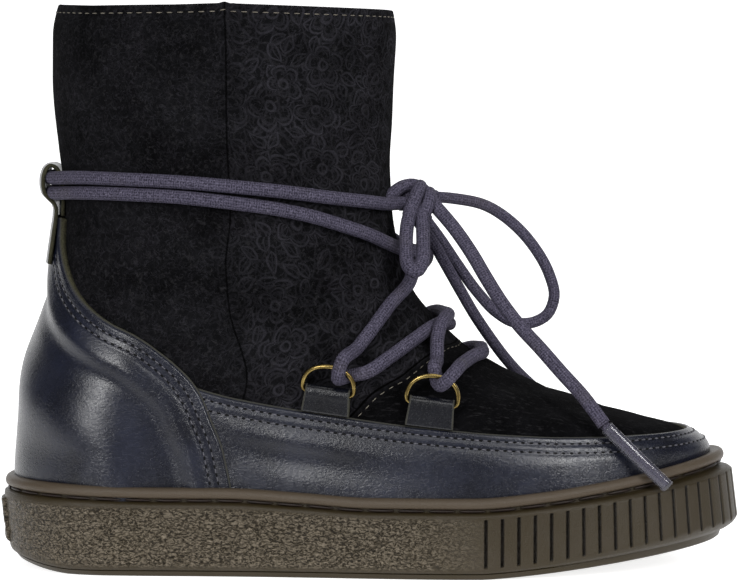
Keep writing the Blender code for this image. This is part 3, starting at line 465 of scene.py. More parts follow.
@dataclass(frozen=True)
class SuedeFinish(Finish):
    """Brushed and embossed black suede: no gloss, a short nap with flecks of light, faint rubbed lines."""

    name: str = "embossed_black_suede"
    ground: str = "#09090a"
    worn: str = "#151517"
    rubbed: str = "#302f34"
    fleck: str = "#313032"
    blossom_mm: float = 15.0
    leaf_mm: float = 5.6
    petals: int = 5
    line_mm: float = 0.55
    net_mm: float = 3.4
    curl_mm: float = 3.0
    patch_mm: float = 17.0
    fibre_mm: float = 0.5
    felt_mm: float = 1.4

    def blossoms(self, add: Adder, hide: Socket) -> Socket:
        """Lines of rounded blossoms, one to a cell, among small leaves.

        Args:
            add: adds a node to the material.
            hide: coordinates on the hide.

        Returns:
            1 on a line and 0 off it.
        """
        density = UV_MM / self.blossom_mm
        centre = add("TexVoronoi", hide, Scale=density, Randomness=0.7, out="Position", **PLANE)
        tone = add("SeparateColor", centre.node.outputs["Color"])
        from_centre = add("VectorMath", hide, centre, **LESS)
        radius = add("VectorMath", from_centre, operation="LENGTH", out="Value")
        radius = add("Math", radius, UV_MM, **TIMES)
        across = add("SeparateXYZ", from_centre)
        angle = add("Math", across.node.outputs[1], across, operation="ARCTAN2")
        angle = add("Math", tone, TURN, angle, **TIMES_PLUS)
        lobe = add("Math", angle, 0.5 * self.petals, **TIMES)
        lobe = add("Math", add("Math", lobe, operation="COSINE"), **SIZE)
        reach = add("Math", tone.node.outputs[1], 2.2, 4.6, **TIMES_PLUS)
        rim = add("Math", add("Math", lobe, 0.5, operation="POWER"), 0.45, 0.55, **TIMES_PLUS)
        rim = add("Math", rim, reach, **TIMES)
        inward = add("Math", rim, radius, **LESS)
        lines = self.leaves(add, hide)
        lines = add("Math", lines, add("MapRange", inward, -1.0, -0.3, 1.0, 0.0), **TIMES)
        for offset in (0.0, 1.3):
            ring = add("Math", add("Math", inward, offset, **LESS), **SIZE)
            strength = 1.0 - 0.3 * offset
            ring = add("MapRange", ring, 0.3 * self.line_mm, self.line_mm, strength, 0.0, **SOFT_STEP)
            lines = add("Math", lines, ring, **LARGER)
        heart = add("Math", add("Math", radius, 1.3, **LESS), **SIZE)
        heart = add("MapRange", heart, 0.3 * self.line_mm, self.line_mm, 1.0, 0.0, **SOFT_STEP)
        return add("Math", lines, heart, **LARGER)

    def leaves(self, add: Adder, hide: Socket) -> Socket:
        """Lines of small lens-shaped leaves with a rib.

        Args:
            add: adds a node to the material.
            hide: coordinates on the hide.

        Returns:
            1 on a line and 0 off it.
        """
        centre = add("TexVoronoi", hide, Scale=UV_MM / self.leaf_mm, Randomness=0.85, out="Position", **PLANE)
        tone = add("SeparateColor", centre.node.outputs["Color"])
        from_centre = add("VectorMath", hide, centre, **LESS)
        spin = add("Math", tone, TURN, **TIMES)
        along = add("SeparateXYZ", add("VectorRotate", from_centre, Angle=spin, rotation_type="Z_AXIS"))
        across = add("Math", along.node.outputs[1], UV_MM, **TIMES)
        across = add("Math", across, **SIZE)
        along = add("Math", along, UV_MM / (0.5 * self.leaf_mm), **TIMES)
        edge = add("Math", add("Math", along, along, **TIMES), -1.5, 1.5, **TIMES_PLUS)
        outline = add("Math", add("Math", across, edge, **LESS), **SIZE)
        outline = add("MapRange", outline, 0.15, 0.5, 1.0, 0.0, **SOFT_STEP)
        rib = add("MapRange", across, 0.08, 0.3, 0.7, 0.0, **SOFT_STEP)
        return add("Math", outline, rib, **LARGER)

    def sockets(self, add: Adder) -> Inputs:
        """Inputs of the shader: embossed behind the vamp seam, brushed in streaks before it."""
        place = add("TexCoord", out="Object")
        hide = add("UVMap", uv_map="surface")
        wander = add("TexNoise", hide, Scale=UV_MM / 6.0, Detail=1.0, out="Color")
        drawn = add("VectorMath", wander, (0.03, 0.03, 0.0), hide, **TIMES_PLUS)
        patches = add("TexNoise", place, Scale=M_IN_MM / self.patch_mm, Detail=3.0, Roughness=0.6)
        vamp = add("Attribute", attribute_name="vamp_seam", out="Fac")
        side = add("Attribute", attribute_name="side_seam", out="Fac")
        front = add("MapRange", side, -6.0, 10.0, 0.22, 1.0)
        shown = add("MapRange", vamp, -1.0, 1.5, 1.0, 0.12, **SOFT_STEP)
        shown = add("Math", shown, front, **TIMES)
        shown = add("Math", shown, add("MapRange", patches, 0.36, 0.6, 0.3, 1.0), **TIMES)
        net = add("TexVoronoi", drawn, Scale=UV_MM / self.net_mm, feature="DISTANCE_TO_EDGE", **PLANE)
        net = add("Math", add("MapRange", net, 0.03, 0.13, 0.55, 0.0, **SOFT_STEP), front, **TIMES)
        curl = add("TexNoise", drawn, Scale=UV_MM / self.curl_mm, Detail=2.0, Roughness=0.6)
        curl = add("Math", add("Math", curl, 0.5, **LESS), **SIZE)
        curl = add("MapRange", curl, 0.004, 0.026, 0.7, 0.0, **SOFT_STEP)
        lines = add("Math", self.blossoms(add, drawn), shown, **TIMES)
        felted = add("MapRange", patches, 0.36, 0.6, 0.35, 0.8)
        felted = add("Math", felted, add("MapRange", vamp, -1.0, 1.5, 1.0, 0.1), **TIMES)
        felted = add("Math", add("Math", net, curl, **LARGER), felted, **TIMES)
        lines = add("Math", lines, felted, **LARGER)
        fibre = add("TexNoise", place, Scale=M_IN_MM / self.fibre_mm, Detail=4.0, Roughness=0.7)
        brushed = add("Mapping", place, Scale=(0.2, 1.0, 1.0))
        streak = add("TexNoise", brushed, Scale=M_IN_MM / 0.8, Detail=3.0, Roughness=0.65)
        streak = add("MapRange", streak, 0.52, 0.72, 0.0, 0.42, **SOFT_STEP)
        streak = add("Math", streak, add("MapRange", vamp, 0.0, 4.0), **TIMES)
        felt = add("TexNoise", place, Scale=M_IN_MM / self.felt_mm, Detail=4.0, Roughness=0.7, Distortion=0.8)
        felt = add("MapRange", felt, 0.5, 0.72, 0.0, 0.5, **SOFT_STEP)
        felt = add("Math", felt, add("MapRange", vamp, -1.0, 1.5, 1.0, 0.0), **TIMES)
        flecks = add("MapRange", fibre, 0.56, 0.78, 0.0, 0.4, **SOFT_STEP)
        flecks = add("Math", flecks, felt, **LARGER)
        colour = add("Mix", add("MapRange", patches, 0.35, 0.7), self.ground, self.worn, **RGB)
        colour = add("Mix", flecks, colour, self.fleck, **RGB)
        rub = add("Math", lines, add("MapRange", fibre, 0.3, 0.6, 0.45, 0.95), **TIMES)
        colour = add("Mix", rub, colour, self.rubbed, **RGB)
        colour = add("Mix", add("MapRange", vamp, 0.0, 3.0, 0.0, 0.4), colour, "#020202", **RGB)
        colour = add("Mix", streak, colour, self.fleck, **RGB)
        gap = add("MapRange", add("Math", side, **SIZE), 0.05, 0.4, 0.8, 0.0, **SOFT_STEP)
        lap = add("MapRange", add("Math", vamp, **SIZE), 0.1, 0.5, 1.0, 0.0, **SOFT_STEP)
        gap = add("Math", gap, lap, **LARGER)
        colour = add("Mix", gap, colour, "#020202", **RGB)
        relief = add("Math", lines, 0.35, add("Math", fibre, 0.7, **TIMES), **TIMES_PLUS)
        relief = add("Math", gap, -1.0, relief, **TIMES_PLUS)
        return dict(
            Base_Color=colour,
            Roughness=1.0,
            Specular_IOR_Level=0.0,
            Sheen_Weight=0.015,
            Sheen_Roughness=0.5,
            Normal=add("Bump", Height=relief, Distance=0.35 * MM, Strength=1.0),
        )


@dataclass(frozen=True)
class LeatherFinish(Finish):
    """Waxed smooth leather, near black with a blue cast: broad highlights, fine grain with painted shade in
    its creases, olive cut edges.
    """

    deep: str = "#0a0c17"
    pale: str = "#161a2b"
    cut: str = "#34332a"
    cut_mm: float = 0.45
    cloud_mm: float = 15.0
    wrinkle_mm: float = 1.5
    grain_mm: float = 0.5
    relief_mm: float = 0.075

    def sockets(self, add: Adder) -> Inputs:
        """Inputs of the shader; edge_mm on the mesh tells how far the cut edge is."""
        place = add("TexCoord", out="Object")
        clouds = add("TexNoise", place, Scale=M_IN_MM / self.cloud_mm, Detail=3.0, Roughness=0.55)
        grain = add("TexNoise", place, Scale=M_IN_MM / self.grain_mm, Detail=3.0, Roughness=0.6)
        pulled = add("Mapping", place, Scale=(0.7, 1.0, 1.4))
        wrinkle = add("TexNoise", pulled, Scale=M_IN_MM / self.wrinkle_mm, Detail=4.0, Roughness=0.65)
        wrinkle = add("Math", add("Math", wrinkle, 0.5, **LESS), **SIZE)
        # Painted shade in the fine creases: the colour darkens along the wrinkle lines
        crease = add("MapRange", wrinkle, 0.0, 0.06, 0.35, 0.0, **SOFT_STEP)
        colour = add("Mix", add("MapRange", clouds, 0.3, 0.72), self.deep, self.pale, **RGB)
        colour = add("Mix", crease, colour, "#05060a", **RGB)
        edge = add("Attribute", attribute_name="edge_mm", out="Fac")
        fibre = add("MapRange", grain, 0.3, 0.7, 0.55, 1.0)
        cut = add("MapRange", edge, 0.75 * self.cut_mm, self.cut_mm, 1.0, 0.0, **SOFT_STEP)
        colour = add("Mix", add("Math", cut, fibre, **TIMES), colour, self.cut, **RGB)
        relief = add("MapRange", wrinkle, 0.0, 0.16, 0.0, 0.5, **SOFT_STEP)
        relief = add("Math", grain, 0.35, relief, **TIMES_PLUS)
        gloss = add("Math", clouds, 0.5, add("Math", grain, 0.5, **TIMES), **TIMES_PLUS)
        gloss = add("MapRange", gloss, 0.3, 0.72, 0.23, 0.34)
        return dict(
            Base_Color=colour,
            Roughness=add("Mix", cut, gloss, 0.9),
            IOR=1.5,
            Specular_IOR_Level=0.6,
            Normal=add("Bump", Height=relief, Distance=self.relief_mm * MM, Strength=0.8),
        )


@dataclass(frozen=True)
class RawEdgeFinish(Finish):
    """Cut edge of tanned leather: matte fibres, olive grey."""

    name: str = "raw_leather_edge"

    def sockets(self, add: Adder) -> Inputs:
        """Inputs of the shader."""
        place = add("TexCoord", out="Object")
        fibre = add("TexNoise", place, Scale=M_IN_MM / 0.5, Detail=3.0, Roughness=0.65)
        return dict(
            Base_Color=add("Mix", add("MapRange", fibre, 0.3, 0.7), "#24231b", "#4a4836", **RGB),
            Roughness=0.9,
            Specular_IOR_Level=0.2,
            Normal=add("Bump", Height=fibre, Distance=0.2 * MM, Strength=0.8),
        )


@dataclass(frozen=True)
class RubberFinish(Finish):
    """Moulded brown rubber: satin bead and lip, a crackled pebble on the wall with painted highlights and
    shade, painted shade with grit specks in the rib grooves.
    """

    name: str = "moulded_brown_rubber"
    ground: str = "#30281a"
    olive: str = "#2d2513"
    # high: painted highlight laid on the pebble's tops
    high: str = "#8c8170"
    bead: str = "#483e32"
    # low: painted shade laid in the pebble's hollows
    low: str = "#17120c"
    pebble_mm: float = 1.3
    lump_mm: float = 0.5
    grit_mm: float = 0.35

    def sockets(self, add: Adder) -> Inputs:
        """Inputs of the shader."""
        place = add("TexCoord", out="Object")
        warp = add("TexNoise", place, Scale=M_IN_MM / 2.4, Detail=2.0, out="Color")
        long = add("Mapping", place, Scale=(0.62, 0.8, 1.15))
        bent = add("VectorMath", warp, (0.0013, 0.0013, 0.0013), long, **TIMES_PLUS)
        crack = add("TexVoronoi", bent, Scale=M_IN_MM / self.pebble_mm, feature="DISTANCE_TO_EDGE")
        pebble = add("MapRange", crack, 0.0, 0.22, 0.0, 1.0, **SOFT_STEP)
        lump = add("TexNoise", bent, Scale=M_IN_MM / self.lump_mm, Detail=4.0, Roughness=0.62, Distortion=0.5)
        grit = add("TexNoise", place, Scale=M_IN_MM / self.grit_mm, Detail=3.0, Roughness=0.6)
        clouds = add("TexNoise", place, Scale=M_IN_MM / 9.0, Detail=2.0)
        share = add("Attribute", attribute_name="pebble", out="Fac")
        groove = add("Attribute", attribute_name="groove", out="Fac")
        height = add("Math", pebble, 0.2, add("MapRange", lump, 0.3, 0.7, 0.0, 0.8), **TIMES_PLUS)
        colour = add("Mix", add("MapRange", clouds, 0.3, 0.7), self.ground, self.olive, **RGB)
        piped = add("Attribute", attribute_name="piping", out="Fac")
        colour = add("Mix", piped, colour, self.bead, **RGB)
        # Painted highlight on the pebble's tops and painted shade in its hollows, both by the height of the
        # bump
        top = add("Math", add("MapRange", height, 0.26, 0.9, 0.0, 0.85, **SOFT_STEP), share, **TIMES)
        colour = add("Mix", top, colour, self.high, **RGB)
        valley_shade = add("MapRange", height, 0.12, 0.52, 0.7, 0.0, **SOFT_STEP)
        colour = add("Mix", add("Math", valley_shade, share, **TIMES), colour, self.low, **RGB)
        # Rib grooves: a near-black painted shade along their ragged edges, mixed with lighter specks of grit
        speck = add("MapRange", grit, 0.62, 0.74, 0.0, 0.6, **SOFT_STEP)
        groove_shade_and_grit = add("Mix", speck, "#120d08", "#5f543f", **RGB)
        ragged_groove_shade = add("Math", add("Math", grit, 0.5, **LESS), 1.2, groove, **TIMES_PLUS)
        ragged_groove_shade = add("MapRange", ragged_groove_shade, 0.15, 0.5, 0.0, 0.92, **SOFT_STEP)
        ragged_groove_shade = add("Math", ragged_groove_shade, add("MapRange", groove, 0.0, 0.05), **TIMES)
        colour = add("Mix", ragged_groove_shade, colour, groove_shade_and_grit, **RGB)
        relief = add("Math", height, share, add("Math", grit, 0.16, **TIMES), **TIMES_PLUS)
        relief = add("Math", add("Math", grit, groove, **TIMES), 0.8, relief, **TIMES_PLUS)
        return dict(
            Base_Color=colour,
            Roughness=add("MapRange", share, 0.0, 1.0, 0.44, 0.40),
            IOR=1.52,
            Specular_IOR_Level=0.27,
            Normal=add("Bump", Height=relief, Distance=0.85 * MM, Strength=1.0),
        )


@dataclass(frozen=True)
class CordFinish(Finish):
    """Round braided cotton cord, lightly waxed: a heathered herringbone of fine strands, violet grey."""

    name: str = "braided_lace"
    strand: str = "#5d596b"
    shade: str = "#1c1a24"
    fluff: str = "#8a8594"
    strand_mm: float = 1.05

    def sockets(self, add: Adder) -> Inputs:
        """Inputs of the shader; the strands are drawn a little coarse so that they show."""
        around = add("UVMap", uv_map="surface")
        place = add("TexCoord", out="Object")
        waves = []
        for lean in (0.9, -0.9):
            turned = add("Mapping", around, Rotation=(0.0, 0.0, lean), Scale=(UV_MM / self.strand_mm,) * 3)
            wave = add("Math", add("SeparateXYZ", turned), TURN, **TIMES)
            waves.append(add("Math", wave, operation="SINE"))
        braid = add("Math", add("Math", *waves, **TIMES), 0.5, 0.5, **TIMES_PLUS)
        fuzz = add("TexNoise", place, Scale=M_IN_MM / 0.45, Detail=3.0, Roughness=0.75)
        clouds = add("TexNoise", place, Scale=M_IN_MM / 12.0, Detail=2.0)
        share = add("Math", fuzz, 1.1, add("Math", braid, 0.22, **TIMES), **TIMES_PLUS)
        tone = add("MapRange", share, 0.40, 0.86, **SOFT_STEP)
        colour = add("Mix", tone, self.shade, self.strand, **RGB)
        bright = add("MapRange", fuzz, 0.57, 0.74, 0.0, 0.7, **SOFT_STEP)
        colour = add("Mix", bright, colour, self.fluff, **RGB)
        dusty = add("MapRange", clouds, 0.55, 0.8, 0.0, 0.3)
        colour = add("Mix", dusty, colour, "#4b463f", **RGB)
        return dict(
            Base_Color=colour,
            Roughness=0.8,
            Specular_IOR_Level=0.1,
            Normal=add("Bump", Height=share, Distance=0.34 * MM, Strength=1.0),
        )


@dataclass(frozen=True)
class ThreadFinish(Finish):
    """Twisted sewing thread: satin, with a slightly uneven twist."""

    colour: str
    shade: str
    rough: float = 0.5

    def sockets(self, add: Adder) -> Inputs:
        """Inputs of the shader."""
        twist = add("TexNoise", add("TexCoord", out="Object"), Scale=M_IN_MM / 0.4, Detail=2.0)
        tone = add("MapRange", twist, 0.3, 0.7)
        return dict(
            Base_Color=add("Mix", tone, self.shade, self.colour, **RGB),
            Roughness=self.rough,
            Specular_IOR_Level=0.3,
            Normal=add("Bump", Height=twist, Distance=0.1 * MM, Strength=0.6),
        )


@dataclass(frozen=True)
class BrassFinish(Finish):
    """Drawn brass wire, aged: bright where it is rubbed, brown in the dull places."""

    name: str = "aged_brass_wire"

    def sockets(self, add: Adder) -> Inputs:
        """Inputs of the shader."""
        rub = add("TexNoise", add("TexCoord", out="Object"), Scale=M_IN_MM / 2.2, Detail=3.0, Roughness=0.6)
        dull = add("MapRange", rub, 0.35, 0.72)
        return dict(
            Base_Color=add("Mix", dull, "#a8935a", "#6f5c33", **RGB),
            Metallic=1.0,
            Roughness=add("MapRange", rub, 0.3, 0.8, 0.20, 0.40),
        )


@dataclass(frozen=True)
class FilmFinish(Finish):
    """Clear acetate film rolled on the lace's tip: glossy and see-through."""

    name: str = "clear_acetate_film"

    def sockets(self, add: Adder) -> Inputs:
        """Inputs of the shader."""
        haze = add("TexNoise", add("TexCoord", out="Object"), Scale=M_IN_MM / 3.0, Detail=2.0)
        return dict(
            Base_Color=add("Mix", haze, "#4b4a55", "#5f5e69", **RGB),
            Roughness=0.16,
            IOR=1.48,
            Alpha=0.42,
            Coat_Weight=1.0,
            Coat_Roughness=0.06,
        )


@dataclass(frozen=True)
class ClothFinish(Finish):
    """Dark lining cloth or felt: matte, with a fine weave or nap."""

    warp: str
    weft: str
    pitch_mm: float

    def sockets(self, add: Adder) -> Inputs:
        """Inputs of the shader."""
        place = add("TexCoord", out="Object")
        parts = add("SeparateXYZ", add("Mapping", place, Scale=(TURN * M_IN_MM / self.pitch_mm,) * 3))
        waves = [add("Math", axis, operation="SINE") for axis in parts.node.outputs]
        weave = add("Math", waves[0], add("Math", waves[1], waves[2], operation="ADD"), **TIMES)
        fuzz = add("TexNoise", place, Scale=M_IN_MM / 0.6, Detail=3.0, Roughness=0.6)
        tone = add("MapRange", add("Math", weave, 0.3, fuzz, **TIMES_PLUS), 0.1, 0.9)
        return dict(
            Base_Color=add("Mix", tone, self.warp, self.weft, **RGB),
            Roughness=0.95,
            Specular_IOR_Level=0.15,
            Normal=add("Bump", Height=fuzz, Distance=0.2 * MM, Strength=0.7),
        )


@dataclass(frozen=True)
class SweepFinish(Finish):
    """Opal acrylic sweep, lit from below behind the boot, so that it stays white with hardly a shadow."""

    name: str = "opal_acrylic"
    front: str = "#858588"
    glow: float = 0.8
    dark_y: float = -0.11
    lit_y: float = -0.05

    def sockets(self, add: Adder) -> Inputs:
        """Inputs of the shader."""
        place = add("TexCoord", out="Object")
        tooth = add("TexNoise", place, Scale=M_IN_MM / 2.0, Detail=2.0)
        depth = add("SeparateXYZ", place, out=1)
        lit = add("MapRange", depth, self.dark_y, self.lit_y, **SOFT_STEP)
        white = add("Mix", tooth, "#e6e6e6", "#eaeaea", **RGB)
        return dict(
            Base_Color=add("Mix", lit, self.front, white, **RGB),
            Roughness=0.9,
            Specular_IOR_Level=0.05,
            Emission_Color="#ffffff",
            Emission_Strength=add("Math", lit, self.glow, **TIMES),
        )


class Wardrobe:
    """All finishes of the boot, made once."""

    def __init__(self) -> None:
        """Makes the materials."""
        self.suede = SuedeFinish().make()
        self.lining = ClothFinish("black_lining_cloth", "#0e0d0f", "#1a191c", 0.9).make()
        self.felt = ClothFinish("grey_insole_felt", "#232122", "#343132", 1.4).make()
        self.leather = LeatherFinish("waxed_navy_leather").make()
        strap = LeatherFinish("waxed_navy_strap", "#06070c", "#0d0f18", cut_mm=0.5, relief_mm=0.06)
        self.strap = strap.make()
        self.raw_edge = RawEdgeFinish().make()
        self.strapping = [self.strap, self.raw_edge]
        self.rubber = RubberFinish().make()
        self.cord = CordFinish().make()
        self.grey_thread = ThreadFinish("waxed_grey_thread", "#67666d", "#333338").make()
        # Near-black finish for the ellipsoids that paint the shade in the needle holes
        self.hole_shade = ThreadFinish("needle_hole_shade", "#030304", "#010102", 0.95).make()
        self.ecru = ThreadFinish("ecru_cotton_thread", "#837d71", "#5a554c", 0.8).make()
        self.brown_thread = ThreadFinish("waxed_brown_thread", "#24160f", "#0d0805").make()
        self.brass = BrassFinish().make()
        self.film = FilmFinish().make()


@contextmanager
def edited(mesh: Mesh) -> Iterator[bmesh.types.BMesh]:
    """A mesh opened for operators and written back afterwards."""
    bm = bmesh.new()
    bm.from_mesh(mesh)
    yield bm
    bm.to_mesh(mesh)
    bm.free()


def sheet_mesh(
    name: str,
    columns: int,
    rows: int,
    place: Placer,
    flat: Placer | None = None,
    values: dict[str, Placer] | None = None,
) -> Mesh:
    """Grid whose points are moved onto a surface, with points that meet joined.

    Args:
        name: the mesh's name.
        columns: cells along the first share.
        rows: cells along the second share.
        place: points in millimetres for two shares from 0 to 1.
        flat: UV places for the same shares.
        values: numbers stored on the points, by name.

    Returns:
        The mesh in metres.
    """
    mesh = bpy.data.meshes.new(name)
    with edited(mesh) as bm:
        bmesh.ops.create_grid(bm, x_segments=columns, y_segments=rows, size=1.0)
    spots = np.empty(len(mesh.vertices) * 3)
    mesh.vertices.foreach_get("co", spots)
    u = np.clip(0.5 * (spots[0::3] + 1.0), 0.0, 1.0)
    v = np.clip(0.5 * (spots[1::3] + 1.0), 0.0, 1.0)
    mesh.vertices.foreach_set("co", (place(u, v) * MM).ravel())
    if flat is not None:
        corner = np.empty(len(mesh.loops), int)
        mesh.loops.foreach_get("vertex_index", corner)
        layer = mesh.uv_layers.new(name="surface")
        layer.data.foreach_set("uv", flat(u, v)[corner].ravel())
    for key, value in (values or {}).items():
        stored = mesh.attributes.new(key, "FLOAT", "POINT")
        stored.data.foreach_set("value", np.asarray(value(u, v), float))
    with edited(mesh) as bm:
        bmesh.ops.remove_doubles(bm, verts=bm.verts, dist=2e-6)
    mesh.shade_smooth()
    return mesh


def put(
    mesh: Mesh, materials: Sequence[Material], nodes: Sequence[str] = ()
) -> Object:
    """Object of a mesh that rides on the boot.

    Args:
        mesh: the mesh, in place.
        materials: its materials in order.
        nodes: CAD nodes that it stands for.

    Returns:
        The object.
    """
    for material in materials:
        mesh.materials.append(material)
    thing = bpy.data.objects.new(mesh.name, mesh)
    bpy.context.scene.collection.objects.link(thing)
    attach(thing, "root")
    if nodes:
        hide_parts(*nodes)
    log.info("%s: %d faces", thing.name, len(mesh.polygons))
    return thing


def wall(thing: Object, gauge: float, side: float) -> None:
    """Gives a sheet its thickness, with the second material on the cut edge.

    Args:
        thing: the sheet.
        gauge: thickness in millimetres.
        side: -1 inward, 0 both ways, 1 outward.
    """
    solid = thing.modifiers.new("gauge", "SOLIDIFY")
    solid.thickness = gauge * MM
    solid.offset = side
    solid.use_even_offset = True
    solid.material_offset_rim = 1


class Stitch(NamedTuple):
    """Sizes of a row of stitches in millimetres; phase is a share of the pitch, sink their middles' depth."""

    pitch: float
    length: float
    half: float
    phase: float = 0.5
    sink: float = 0.0


def stitch_mesh(name: str, lines: Sequence[tuple[Array, Array]], stitch: Stitch) -> Mesh:
    """Rows of stitches along lines on a surface.

    Args:
        name: the mesh's name.
        lines: points and normals of each line, in millimetres.
        stitch: the row's sizes.

    Returns:
        The mesh in metres.
    """
    bm = bmesh.new()
    bmesh.ops.create_uvsphere(bm, u_segments=6, v_segments=5, radius=1.0)
    single = bpy.data.meshes.new(name)
    bm.to_mesh(single)
    bm.clear()
    for points, normals in lines:
        along = arc_length(points)
        count = max(1, int(along[-1] / stitch.pitch))
        middles = (np.arange(count) + stitch.phase) * along[-1] / count

        def read(table: Array, shift: float, middles: Array = middles, along: Array = along) -> Array:
            """Values of a line's table beside each stitch."""
            return np.stack([np.interp(middles + shift, along, table[:, axis]) for axis in range(3)], axis=1)

        runs = unit(read(points, 0.3) - read(points, -0.3))
        for spot, out, run in zip(read(points, 0.0), unit(read(normals, 0.0)), runs):
            across = unit(np.cross(out, run))
            frame = np.eye(4)
            frame[:3, 0] = across * stitch.half
            frame[:3, 1] = np.cross(run, across) * 0.85 * stitch.half
            frame[:3, 2] = run * 0.5 * stitch.length
            frame[:3, 3] = spot - stitch.sink * out
            frame[:3] *= MM
            copy = single.copy()
            copy.transform(Matrix(frame.tolist()))
            bm.from_mesh(copy)
            bpy.data.meshes.remove(copy)
    bmesh.ops.recalc_face_normals(bm, faces=bm.faces)
    bm.to_mesh(single)
    bm.free()
    single.shade_smooth()
    return single


def resample(points: Sequence[Point] | Array, step: float) -> Array:
    """Points about one step apart on a smooth curve through the route's points.

    Args:
        points: the route.
        step: wanted distance in millimetres.

    Returns:
        The dense points.
    """
    points = np.asarray(points, float)
    lengths = np.linalg.norm(np.diff(points, axis=0), axis=1)
    speeds = np.diff(points, axis=0) / lengths[:, None]
    tangents = np.empty_like(points)
    tangents[0] = speeds[0]
    tangents[-1] = speeds[-1]
    before = lengths[:-1, None]
    after = lengths[1:, None]
    tangents[1:-1] = (speeds[:-1] * after + speeds[1:] * before) / (before + after)
    curve = [points[0]]
    for k, length in enumerate(lengths):
        count = max(1, int(round(length / step)))
        for u in np.arange(1, count + 1) / count:
            spot = (2 * u**3 - 3 * u**2 + 1) * points[k] + (3 * u**2 - 2 * u**3) * points[k + 1]
            bend = (u**3 - 2 * u**2 + u) * tangents[k] + (u**3 - u**2) * tangents[k + 1]
            curve.append(spot + length * bend)
    return np.array(curve)


def carried_frames(points: Array, cyclic: bool) -> tuple[Array, Array]:
    """Two directions across a line that turn with it as little as they can.

    Args:
        points: the line; a cyclic one repeats its first point at its end.
        cyclic: whether the directions have to meet at the ends.

    Returns:
        The two directions at each point.
    """
    runs = unit(np.gradient(points, axis=0))
    if cyclic:
        runs[0] = runs[-1] = unit(points[1] - points[-2])
    first = np.empty_like(points)
    start = np.cross(runs[0], (0.0, 0.0, 1.0))
    first[0] = unit(start if np.linalg.norm(start) > 0.1 else np.cross(runs[0], (0.0, 1.0, 0.0)))
    for k in range(1, len(points)):
        first[k] = unit(first[k - 1] - runs[k] * np.dot(first[k - 1], runs[k]))
    if cyclic:
        twist = math.atan2(np.dot(first[0], np.cross(runs[-1], first[-1])), np.dot(first[0], first[-1]))
        for k, angle in enumerate(np.linspace(0.0, twist, len(points))):
            first[k] = first[k] * math.cos(angle) + np.cross(runs[k], first[k]) * math.sin(angle)
    return first, np.cross(runs, first)


def tube_mesh(
    name: str, points: Array, half: float, sides: int = 14, flatten: float = 1.0, cyclic: bool = False
) -> Mesh:
    """Round or flattened tube along points.

    Args:
        name: the mesh's name.
        points: its middle line in millimetres.
        half: half thickness in millimetres.
        sides: cells round it.
        flatten: share of the thickness kept across its second direction.
        cyclic: whether the line is closed.

    Returns:
        The mesh in metres.
    """
    if cyclic:
        points = np.concatenate([points, points[:1]])
    first, second = carried_frames(points, cyclic)
    along = arc_length(points)
    last_row = len(points) - 1

    def place(u: Array, v: Array) -> Array:
        """Points round and along the tube."""
        k = np.rint(v * last_row).astype(int)
        ring = first[k] * np.cos(TURN * u)[:, None] + second[k] * np.sin(TURN * u)[:, None] * flatten
        return points[k] + ring * half

    def flat(u: Array, v: Array) -> Array:
        """UV places round and along the tube."""
        return np.stack([u * TURN * half, along[np.rint(v * last_row).astype(int)]], axis=1) / UV_MM

    mesh = sheet_mesh(name, sides, last_row, place, flat)
    if not cyclic:
        with edited(mesh) as bm:
            bmesh.ops.holes_fill(bm, edges=[edge for edge in bm.edges if edge.is_boundary], sides=0)
    return mesh


class SoleRow(NamedTuple):
    """One row of the sole's side: its line, heights over it and reaches past the bead's plan, heel to toe."""

    line: Line
    height: Point
    out: Point
    relief: float = 0.0
    pebble: float = 0.0


def sole_rows(line: Line, *rows: tuple[Point | float, ...]) -> tuple[SoleRow, ...]:
    """Rows of the sole's side that count from the same line."""
    return tuple(SoleRow(line, *row) for row in rows)


def level_rows(*rows: Pair) -> tuple[SoleRow, ...]:
    """Rows beside the bead that have one height and reach from heel to toe."""
    return sole_rows(Line.BEAD, *(((height,) * 3, (out,) * 3) for height, out in rows))


